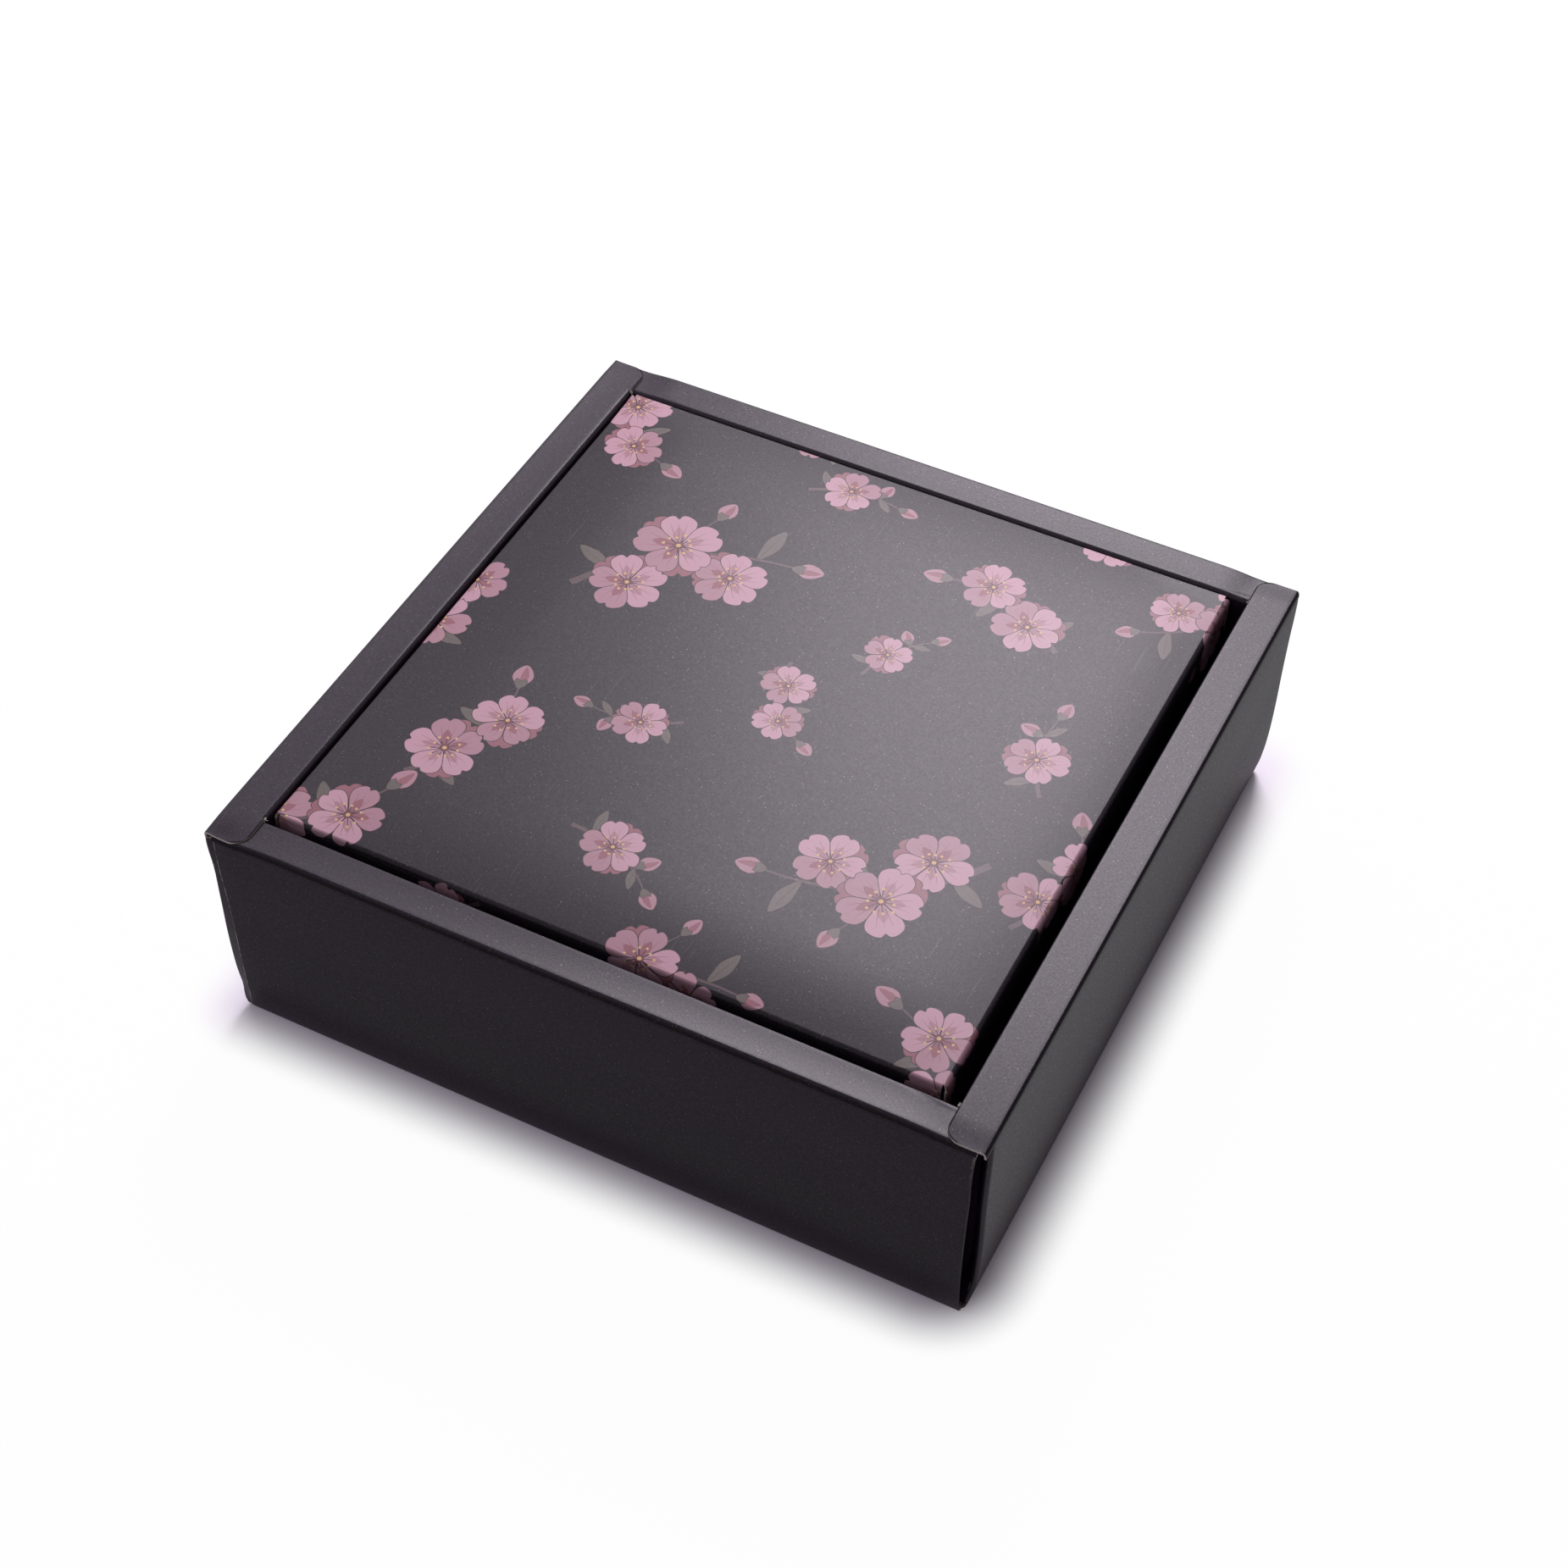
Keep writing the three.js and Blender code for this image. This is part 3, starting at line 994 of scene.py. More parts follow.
@dataclass(frozen=True)
class Handling:
    """How far handling has moved the tray's boards."""

    wave: float = 0.06
    wave_length: float = 75.0
    tab_droop: float = 0.2
    corner_dip: float = 0.4
    corner_dip_reach: float = 4.5
    corner: Pair = (-95.0, -99.0)
    waver: float = 0.2
    waver_length: float = 60.0
    waver_height: float = 45.0
    walls_from: float = 60.0
    wall_height: float = 66.0
    wall_half: float = 99.0
    spread: float = 0.6
    middle_spread: float = 0.2
    spread_heights: Pair = (35, 63)
    rail_heights: Pair = (58, 65)
    tab_rows: Pair = (92, 99)
    tab_ends: Pair = (84, 91)
    side_walls: Pair = (91, 98)
    end_walls: Pair = (90, 97)

    def bow(self, rise: float, across: float, along: float) -> float:
        """How far a wall stands out at a place, most in its middle."""
        extra = self.middle_spread * (along / self.wall_half) ** 2
        return rise * (1 + self.middle_spread - extra) * across

    def __call__(self, point: Vector) -> Vector:
        """Rails wave a little, walls spread, and the corners' tabs are pressed down.

        Args:
            point: A point of the tray.

        Returns:
            Its move.
        """
        x, y, z = point
        high = smooth_step(*self.rail_heights, z)
        lie = Vector((x / self.wave_length, y / self.wave_length, 3.7))
        wave = self.wave * (1 + noise.noise(lie))
        droop = self.tab_droop * smooth_step(*self.tab_rows, abs(y)) * smooth_step(*self.tab_ends, abs(x))
        off = math.hypot(x - self.corner[0], y - self.corner[1])
        dip = self.corner_dip * math.exp(-(off / self.corner_dip_reach) ** 2)
        middle = math.sin(math.pi * min(max(z / self.wall_height, 0), 1))
        lie = Vector((x / self.waver_length, y / self.waver_length, z / self.waver_height))
        out = Vector((x, y, 0))
        inward = Vector((0, 0, 0))
        if out.length >= self.walls_from:
            inward = -out.normalized() * abs(self.waver * middle * noise.noise(lie)) * (1 - high)
        rise = self.spread * smooth_step(*self.spread_heights, z)
        aside = self.bow(rise, smooth_step(*self.side_walls, abs(x)), y)
        away = self.bow(rise, smooth_step(*self.end_walls, abs(y)), x)
        outward = Vector((math.copysign(aside, x), math.copysign(away, y), 0))
        return inward + outward - Vector((0, 0, high * (wave + droop + dip)))


WALL_SHARES = [k / 24 for k in range(1, 24)] + [0.971, 0.98, 0.986, 0.991, 0.996, 1.0]
TAB_SHARES = [0.935 * k / 13 for k in range(1, 14)] + [0.955, 1.0]
UP = Vector((0, 0, 1))


@dataclass
class Tray:
    """The tray: one folded sheet with hollow walls, a rail round the top and webs in its corners."""

    press: Press
    strips: StripTree
    width: float = 200.0
    depth: float = 198.2
    height: float = 66.3
    side_rail: float = 10.0
    end_rail: float = 9.2
    fold: float = 0.8
    foot_inset: float = 1.65
    foot_flare: float = math.radians(30)
    foot_pull: float = 8.0
    head_pull: float = 21.5
    bulge: float = 0.52
    floor_fold: float = 0.4
    rail_fold_depth: float = 1.3
    fold_lead: float = 0.1
    tab_line: float = 89.8
    press_below: float = 0.4
    press_above: float = 0.8
    tab_inset: float = 0.4
    tab_radius: float = 4.0
    flap: float = 20.0
    slit: float = 0.3
    end_inset: float = 2.2
    left_draw: float = 1.4
    left_draw_heights: Pair = (16, 62)
    left_foot: float = 0.9
    left_foot_heights: Pair = (1, 9)
    pinch: float = 0.4
    pinch_start: Pair = (44, 54)
    pinch_end: Pair = (60, 65)
    soft_fold: float = 0.9
    soft_turn: float = 1.0
    soft_heights: Pair = (0, 10)
    soft_reach: float = 3.75
    soft_gap: Course = Course(1.0, ((4.0, 0, 9), (-0.9, 20, 45)))
    crisp_fold: float = 0.7
    crisp_gap: Course = Course(0.15, ((2.0, 0, 8), (-0.8, 18, 45), (-1.2, 50, 64)))
    side_closing: Course = Course(0.35, ((0.65, 0, 8),))
    end_closing: Course = Course(0.3, ((0.7, 0, 6),))
    front_left_wear: Course = Course(1.6)
    upper_wear: Course = Course(0.0, ((0.6, 50, 64),))
    painted_dimming_heights: Pair = (1, 11)
    web_foot: float = 2.6
    web_gap: float = 0.1
    web_heights: Pair = (0, 16)
    web_inset: float = 1.9
    web_share: float = 0.95
    handling: Handling = Handling()

    def out_of(self, side: Side) -> float:
        """Distance out to a side's rail fold."""
        return (self.depth if side.is_end else self.width) / 2

    def inner_of(self, side: Side) -> float:
        """Distance out to a side's inner wall."""
        return self.out_of(side) - (self.end_rail if side.is_end else self.side_rail)

    def inner_half(self, side: Side) -> float:
        """Half length of a side's inner wall."""
        return self.inner_of(Side.RIGHT if side.is_end else Side.FRONT) - self.slit

    def top_of(self, side: Side) -> float:
        """Height of a side's rail. The end rails lie one board lower, under the tabs."""
        return self.height - (self.press.board if side.is_end else 0)

    @property
    def wall_top(self) -> float:
        """Height at which every outer wall ends in its rail's fold."""
        return self.height - self.press.board - self.rail_fold_depth

    def rail_foot(self, side: Side) -> float:
        """Height at which a rail's inner fold meets its inner wall."""
        return self.top_of(side) + RAILS[side].inner_lift - RAILS[side].inner_fold

    @property
    def end_half(self) -> float:
        """Half length of a front or back rail."""
        return self.width / 2 - self.end_inset

    def panel_half(self, corner: Corner, height: float) -> float:
        """Half length of a front or back panel over its upright fold.

        Args:
            corner: The corner that it reaches.
            height: The height.

        Returns:
            The half length, which draws in lower down at the front left.
        """
        if corner is Corner.FRONT_LEFT:
            drawn = self.end_half - self.left_draw * (1 - smooth_step(*self.left_draw_heights, height))
            return drawn + self.left_foot * (1 - smooth_step(*self.left_foot_heights, height))
        pinched = smooth_step(*self.pinch_start, height) * (1 - smooth_step(*self.pinch_end, height))
        return self.end_half - self.pinch * pinched

    def finish_piece(self, node: str, mesh: bpy.types.Mesh, shown: Vector) -> None:
        """Makes a board, settles it and has it stand for its node.

        Args:
            node: The CAD node.
            mesh: The printed face.
            shown: The direction that the printed face looks in.
        """
        piece = self.press.thicken(f"{node}_board", mesh, shown, LAMINATE)
        self.press.settle(piece, self.handling)
        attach(piece, "tray")
        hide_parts(node)
        log.info("%s: %d faces", piece.name, len(piece.data.polygons))

    def strip(
        self,
        kind: str,
        side: Side,
        rows: Sequence[Station],
        shown: Vector,
        flat_steps: int,
        fold_steps: int = 0,
    ) -> None:
        """Sweeps a board along a side, and lets it down under the tabs where it meets an end rail.

        Args:
            kind: The beginning of the node's name.
            side: The side.
            rows: The rows of its profile.
            shown: The direction that the printed face looks in.
            flat_steps: Steps between its upright folds.
            fold_steps: Steps round each upright fold.
        """
        node = f"{kind}_{side.value}"
        mesh = self.strips.sweep(node, side, rows, flat_steps, fold_steps)
        if side.is_end and kind in ("rail", "inner_wall"):
            self.press_under_tabs(mesh, side)
        self.finish_piece(node, mesh, shown)

    def wall_profile(self, out: float) -> list[Station]:
        """Stations up an outer wall: the crease at the floor, then the bowed panel.

        Args:
            out: Distance out to the rail's fold.

        Returns:
            The stations.
        """
        foot = out - self.foot_inset
        bend = self.floor_fold
        # painted shade along the crease at the floor
        crease = arc((foot - bend, bend), (bend, bend), -QUARTER, -self.foot_flare)
        start = Vector((crease[-1].out, crease[-1].up))
        lean = Vector((math.sin(self.foot_flare), math.cos(self.foot_flare)))
        head = Vector((out + self.bulge, self.wall_top - self.head_pull))
        pulls = (start, start + lean * self.foot_pull, head, Vector((out, self.wall_top)))
        rise = []
        for t in WALL_SHARES:
            shares = ((1 - t) ** 3, 3 * t * (1 - t) ** 2, 3 * t * t * (1 - t), t**3)
            place = sum((p * s for p, s in zip(pulls, shares)), Vector((0, 0)))
            rise.append(Station(place.x, place.y))
        return crease + rise

    def wall_out(self, out: float, height: float) -> float:
        """Where an outer wall's face is at a height.

        Args:
            out: Distance out to the rail's fold.
            height: The height.

        Returns:
            Distance out of the face.
        """
        rows = self.wall_profile(out)
        for low, high in zip(rows, rows[1:]):
            if high.up >= height:
                share = (height - low.up) / max(high.up - low.up, 1e-6)
                return low.out + (high.out - low.out) * max(share, 0)
        return rows[-1].out

    def web_face(self, height: float) -> float:
        """Distance out of the side webs' faces: close behind the end walls at the floor, deeper above."""
        close = smooth_step(*self.web_heights, height)
        wall = self.wall_out(self.out_of(Side.FRONT), height)
        return wall - self.slit - (self.web_inset - self.slit) * close

    def side_end(self, corner: Corner, height: float) -> End:
        """How a left or right wall ends at a height: softly at the front right, and crisply elsewhere.

        Args:
            corner: The corner that it reaches.
            height: The height.

        Returns:
            The end of its row.
        """
        soft = corner is Corner.FRONT_RIGHT
        fold = (self.soft_fold if soft else self.crisp_fold) * self.side_closing.at(height)
        gap = (self.soft_gap if soft else self.crisp_gap).at(height)
        half = self.wall_out(self.out_of(Side.FRONT), height) - gap - fold
        if soft:
            opened = smooth_step(*self.soft_heights, height)
            return End(half, fold, QUARTER + self.soft_turn * opened)
        middle = Vector((self.wall_out(self.out_of(Side.RIGHT), height) - fold, half))
        aim = Vector((self.end_half - self.fold, self.web_face(height))) - middle
        if aim.y >= 0:
            return End(half, fold, QUARTER)
        turn = math.tau + math.atan2(aim.y, aim.x) - math.acos(min(fold / aim.length, 1))
        return End(half, fold, turn)

    def end_fold(self, height: float) -> float:
        """Radius of a front or back panel's upright fold, which begins above the crease at the floor."""
        return 0.0 if height < self.fold else self.fold * self.end_closing.at(height)

    def outer_wall(self, side: Side) -> None:
        """Builds an outer wall with its upright folds."""
        profile = self.wall_profile(self.out_of(side))
        # painted shade on the outer wall, carried by its crease attribute
        shaded = [replace(s, crease=max(s.crease, self.wall_shade(side, s.up))) for s in profile]
        rows = ended(shaded, lambda s, way: self.wall_end(side, way, s.up))
        self.strip("outer_wall", side, rows, side.out, 40, 12)

    def wall_shade(self, side: Side, height: float) -> float:
        """The painted shade of an outer wall: none at its foot, a painted dimming above, and darker close
        under its rail.
        """
        rail = RAILS[side]
        painted_dimming = rail.painted_dimming * smooth_step(*self.painted_dimming_heights, height)
        under_rail = smooth_step(self.wall_top - rail.wall_shade_width, self.wall_top, height)
        return max(painted_dimming, rail.wall_shade * under_rail)

    def wall_end(self, side: Side, way: int, height: float) -> End:
        """How an outer wall ends at a height.

        Args:
            side: The wall's side.
            way: The direction along it, -1 or 1.
            height: The height.

        Returns:
            The end of its row.
        """
        corner = Corner.of(side, way)
        if not side.is_end:
            return self.side_end(corner, height)
        fold = self.end_fold(height)
        wear = self.front_left_wear if corner is Corner.FRONT_LEFT else self.upper_wear
        return End(self.panel_half(corner, height) - fold, fold, 2 * QUARTER, wear.at(height))

    def rail_profile(self, side: Side) -> tuple[list[Station], list[Station], list[Station]]:
        """Stations over a rail.

        Args:
            side: The rail's side.

        Returns:
            The outer fold, the plate, which bends towards its outer edge, and the inner fold.
        """
        out, inner, rail = self.out_of(side), self.inner_of(side), RAILS[side]
        high, level = self.top_of(side) + rail.outer_lift, self.top_of(side) + rail.inner_lift
        low = self.wall_top + self.fold_lead
        radii = (rail.outer_fold, high - low)
        # painted shade: the wall's shade under the rail and the outer fold's dark line, fading across the
        # plate
        outer = [Station(out, self.wall_top, rail.wall_shade)]
        outer += arc((out - rail.outer_fold, low), radii, 0, QUARTER, 14, rail.dark, rail.painted_shade_peak)
        centre = (inner + rail.inner_fold, self.rail_foot(side))
        # painted shade on the inner fold, lighter
        turn = arc(centre, (rail.inner_fold,) * 2, QUARTER, 2 * QUARTER, depth=0.4)
        plate = []
        steps = 10
        for k in range(steps + 1):
            share = k / steps
            place = outer[-1].out + (turn[0].out - outer[-1].out) * share
            up = level + (high - level) * (1 - share) ** 2
            plate.append(Station(place, up, outer[-1].crease * max(1 - 4 * share, 0)))
        return outer, plate, turn

    def press_under_tabs(self, mesh: bpy.types.Mesh, side: Side) -> None:
        """Lets the ends of an end rail down, so that the side rails' tabs lie on them.

        Args:
            mesh: A printed face that reaches the rail.
            side: The rail's side.
        """
        rail = RAILS[side]
        for vertex in mesh.vertices:
            place = vertex.co / MM
            under = smooth_step(rail.press_from, self.tab_line, abs(place.x))
            top = self.wall_top
            above = smooth_step(top - self.press_below, top + self.press_above, place.z)
            vertex.co.z -= MM * rail.press * under * above

    def end_rail_board(self, side: Side) -> None:
        """Builds a front or back rail."""
        outer, plate, turn = self.rail_profile(side)
        long_half, short_half = self.end_half, self.inner_half(side)
        rows = ended(outer + plate[1:-1], lambda s, way: End(long_half))
        rows += ended(turn, lambda s, way: End(short_half))
        self.strip("rail", side, rows, UP, 120)

    def tab_half(self, out: float) -> float:
        """Half length of a side rail at a distance out, which ends in the tabs' rounded corners."""
        end = self.out_of(Side.FRONT) - self.tab_inset
        inside = self.inner_of(Side.RIGHT) + self.tab_radius
        if out >= inside:
            return end
        dx = min(inside - out, self.tab_radius)
        return end - self.tab_radius + math.sqrt(self.tab_radius**2 - dx**2)

    def side_rail_board(self, side: Side) -> None:
        """Builds a left or right rail: its plate, both folds, and the tabs that lap the end rails."""
        outer, plate, turn = self.rail_profile(side)
        neck = self.inner_half(side)
        inner = self.inner_of(side)
        steps, lips = 44, 8
        middle = [-neck + 2 * neck * k / steps for k in range(steps + 1)]
        rounded_from = inner + self.tab_radius
        sheet = Sheet()

        def row(station: Station) -> list[tuple[Vector, float]]:
            """A row of the plate from tab to tab, with painted shade along its rounded ends."""
            half = self.tab_half(station.out)
            low = [-neck - (half - neck) * t for t in reversed(TAB_SHARES)]
            places = low + middle + [neck + (half - neck) * t for t in TAB_SHARES]
            rounded = 1 - smooth_step(rounded_from - 1.5, rounded_from + 0.5, station.out)
            edge = max(station.crease, rounded)
            dark = [edge] * 2 + [station.crease] * (len(places) - 4) + [edge] * 2
            return [(side.place(station.out, a, station.up), c) for a, c in zip(places, dark)]

        sheet.grid([row(s) for s in outer + plate[1:]])
        turn[0] = replace(turn[0], crease=0.0)
        sheet.grid([[(side.place(s.out, a, s.up), s.crease) for a in middle] for s in turn])
        start, level = plate[-1].out, plate[-1].up
        for way in (-1, 1):
            rows = []
            for k in range(lips + 1):
                reach = start + (inner - start) * math.sin(QUARTER * k / lips)
                half = self.tab_half(reach)
                # painted shadow line along the tab's inner edge and round its rim
                line = min(max((0.55 - (reach - inner)) / 0.2, 0.0), 1.0) if k else 0.0
                lip = []
                for t in (0.0, *TAB_SHARES):
                    dark = max(line * min(8 * t, 1.0), 1.0 if t > 0.94 else 0.0)
                    lip.append((side.place(reach, way * (neck + (half - neck) * t), level), dark))
                rows.append(lip[::way])
            sheet.grid(rows)
        self.finish_piece(f"rail_{side.value}", sheet.mesh(f"rail_{side.value}"), UP)

    def inner_wall(self, side: Side) -> None:
        """Builds an inner wall, from its rail's fold down to its flap's crease."""
        inner, half = self.inner_of(side), self.inner_half(side)
        top = self.rail_foot(side)
        low = self.press.board + self.fold
        steps = 16
        heights = [top + (low - top) * k / steps for k in range(steps + 1)]
        rows = ended([Station(inner, up) for up in heights], lambda s, way: End(half))
        self.strip("inner_wall", side, rows, -side.out, 60)

    def floor_flap(self, side: Side) -> None:
        """Builds a glue flap with its crease and mitred ends."""
        inner, half = self.inner_of(side), self.inner_half(side)
        tight = self.fold - self.press.board
        level = 2 * self.press.board
        # painted shade along the flap's crease
        rows = arc((inner - tight, level + tight), (tight, tight), 0, -QUARTER, 6)
        rows += [Station(inner - tight - (self.flap - tight) * k / 6, level) for k in range(1, 7)]
        rows = ended(rows, lambda s, way: End(half - max(inner - s.out, 0)))
        self.strip("floor_flap", side, rows, UP, 36)

    def web_rows(self) -> list[float]:
        """Heights of a web's rows, from its foot up to the rail."""
        steps, foot, top = 20, self.web_foot, self.wall_top - self.web_gap
        return [foot + (top - foot) * k / steps for k in range(steps + 1)]

    def finish_web(self, node: str, rows: Sequence[Sequence[Vector]], way: int) -> None:
        """Finishes a web.

        Args:
            node: The CAD node.
            rows: Its points in rows.
            way: The sign of Y that its printed face looks to.
        """
        sheet = Sheet()
        sheet.grid([[(place, 0.0) for place in row] for row in rows])
        self.finish_piece(node, sheet.mesh(node), Vector((0, way, 0)))

    def end_web(self, corner: Corner) -> None:
        """Builds the web that is turned back behind a front or back wall."""
        rows = []
        for up in self.web_rows():
            fold = self.end_fold(up)
            out = self.wall_out(self.out_of(Side.FRONT), up) - 2 * fold
            start = self.panel_half(corner, up) - fold
            flat = [start - self.web_share * up * k / 6 for k in range(7)]
            rows.append([self.at(corner, x, out, up) for x in flat])
        self.finish_web(f"end_web_{corner.words}", rows, -corner.value[1])

    def side_web(self, corner: Corner) -> None:
        """Builds the web that turns in off a side wall and crosses behind the end web."""
        rows = []
        for up in self.web_rows():
            end = self.side_end(corner, up)
            face = self.wall_out(self.out_of(Side.RIGHT), up) - end.fold
            turned = Vector((math.cos(end.turn), math.sin(end.turn)))
            first = Vector((face + end.fold * turned.x, end.half + end.fold * turned.y))
            if corner is Corner.FRONT_RIGHT:
                second = first + Vector((-turned.y, turned.x)) * self.soft_reach
            else:
                second = Vector((min(self.end_half - self.fold, first.x), self.web_face(up)))
            places = [first.lerp(second, k / 4) for k in range(5)]
            places += [Vector((second.x - self.web_share * up * k / 6, second.y)) for k in range(1, 7)]
            rows.append([self.at(corner, p.x, p.y, up) for p in places])
        self.finish_web(f"side_web_{corner.words}", rows, corner.value[1])

    @staticmethod
    def at(corner: Corner, x: float, y: float, z: float) -> Vector:
        """A point measured out from the middle towards a corner."""
        return Vector((corner.value[0] * x, corner.value[1] * y, z))

    def floor(self) -> None:
        """Builds the base panel between the creases at the walls' feet."""
        x = self.out_of(Side.RIGHT) - self.foot_inset - self.floor_fold
        y = self.out_of(Side.FRONT) - self.foot_inset - self.floor_fold
        sheet = Sheet()
        steps = 24
        across, deep = ([-h + 2 * h * k / steps for k in range(steps + 1)] for h in (x, y))
        sheet.grid([[(Vector((a, d, 0)), 0.0) for a in across] for d in deep])
        self.finish_piece("tray_floor", sheet.mesh("tray_floor"), -UP)

    def build(self) -> None:
        """Builds every board of the tray."""
        self.floor()
        for side in Side:
            self.outer_wall(side)
            if side.is_end:
                self.end_rail_board(side)
            else:
                self.side_rail_board(side)
            self.inner_wall(side)
            self.floor_flap(side)
        for corner in Corner:
            self.end_web(corner)
            self.side_web(corner)


# The lid's print


class Ink(Enum):
    """The inks of the print, as they look on the black board."""

    GROUND = (22, 15, 25)
    PALE = (172, 135, 147)
    BLUSH = (153, 116, 127)
    DUSK = (130, 84, 94)
    ROSE = (114, 66, 77)
    LINE = (58, 38, 42)
    POLLEN = (188, 158, 110)
    TWIG = (80, 66, 67)
    LEAF = (88, 82, 78)


@dataclass(frozen=True)
class Shape:
    """A patch of one ink on the flat sheet."""

    ink: Ink
    outline: tuple[Vector, ...]


class Spray(Enum):
    """The kinds of spray that the print repeats."""

    BOUGH = "bough"
    PAIR = "pair"
    SINGLE = "single"


def rounded(points: Sequence[Pair], steps: int = 3) -> list[Vector]:
    """A smooth closed line through points.

    Args:
        points: The points that it passes.
        steps: Steps from each to the next.

    Returns:
        The line's points.
    """
    line = []
    ring = [Vector(p) for p in points]
    for k in range(len(ring)):
        a, b, c, d = (ring[(k + n) % len(ring)] for n in (-1, 0, 1, 2))
        for s in range(steps):
            t = s / steps
            square, cube = a * 2 - b * 5 + c * 4 - d, b * 3 - a - c * 3 + d
            line.append((b * 2 + (c - a) * t + square * t**2 + cube * t**3) / 2)
    return line


def laid(points: Iterable[Vector], at: Vector, angle: float, size: float) -> list[Vector]:
    """Points sized, turned and moved to a place."""
    turned = Matrix.Rotation(angle, 2)
    return [at + turned @ (p * size) for p in points]


def heading(angle: float) -> Vector:
    """A way on the flat sheet, as a vector of length 1."""
    return Vector((math.cos(angle), math.sin(angle)))


def grown(outline: Sequence[Vector], by: float) -> list[Vector]:
    """An anticlockwise outline moved outwards.

    Args:
        outline: The outline.
        by: How far.

    Returns:
        The moved outline.
    """
    moved = []
    for k, place in enumerate(outline):
        way = outline[(k + 1) % len(outline)] - outline[k - 1]
        if way.length > 1e-6:
            place = place + Vector((way.y, -way.x)).normalized() * by
        moved.append(place)
    return moved


HALF_PETAL = [(0.08, 0.05), (0.3, 0.5), (0.55, 0.92), (0.78, 0.98), (0.95, 0.62), (0.99, 0.24)]
HOLLOW = [(0.08, -0.02), (0.3, -0.13), (0.5, -0.08), (0.6, 0.0), (0.5, 0.08), (0.3, 0.13), (0.08, 0.02)]
BUD = [(0.1, -0.12), (0.4, -0.34), (0.75, -0.26), (1.0, 0.0), (0.75, 0.26), (0.4, 0.34), (0.1, 0.12)]
BUD_FOLD = [(0.2, -0.1), (0.5, -0.2), (0.94, -0.02), (0.6, 0.06), (0.3, 0.06)]
CALYX = [(-0.08, -0.05), (0.14, -0.2), (0.36, -0.16), (0.26, 0.0), (0.36, 0.16), (0.14, 0.2), (-0.08, 0.05)]
BLADE = [(0.0, 0.0), (0.3, -0.14), (0.62, -0.15), (1.0, 0.03), (0.62, 0.17), (0.3, 0.12)]
RIB = [(0.02, 0.0), (0.5, 0.01), (0.92, 0.03)]
DEEPER = {Ink.PALE: Ink.BLUSH, Ink.BLUSH: Ink.DUSK, Ink.DUSK: Ink.ROSE}
THIN_LINE = 0.12


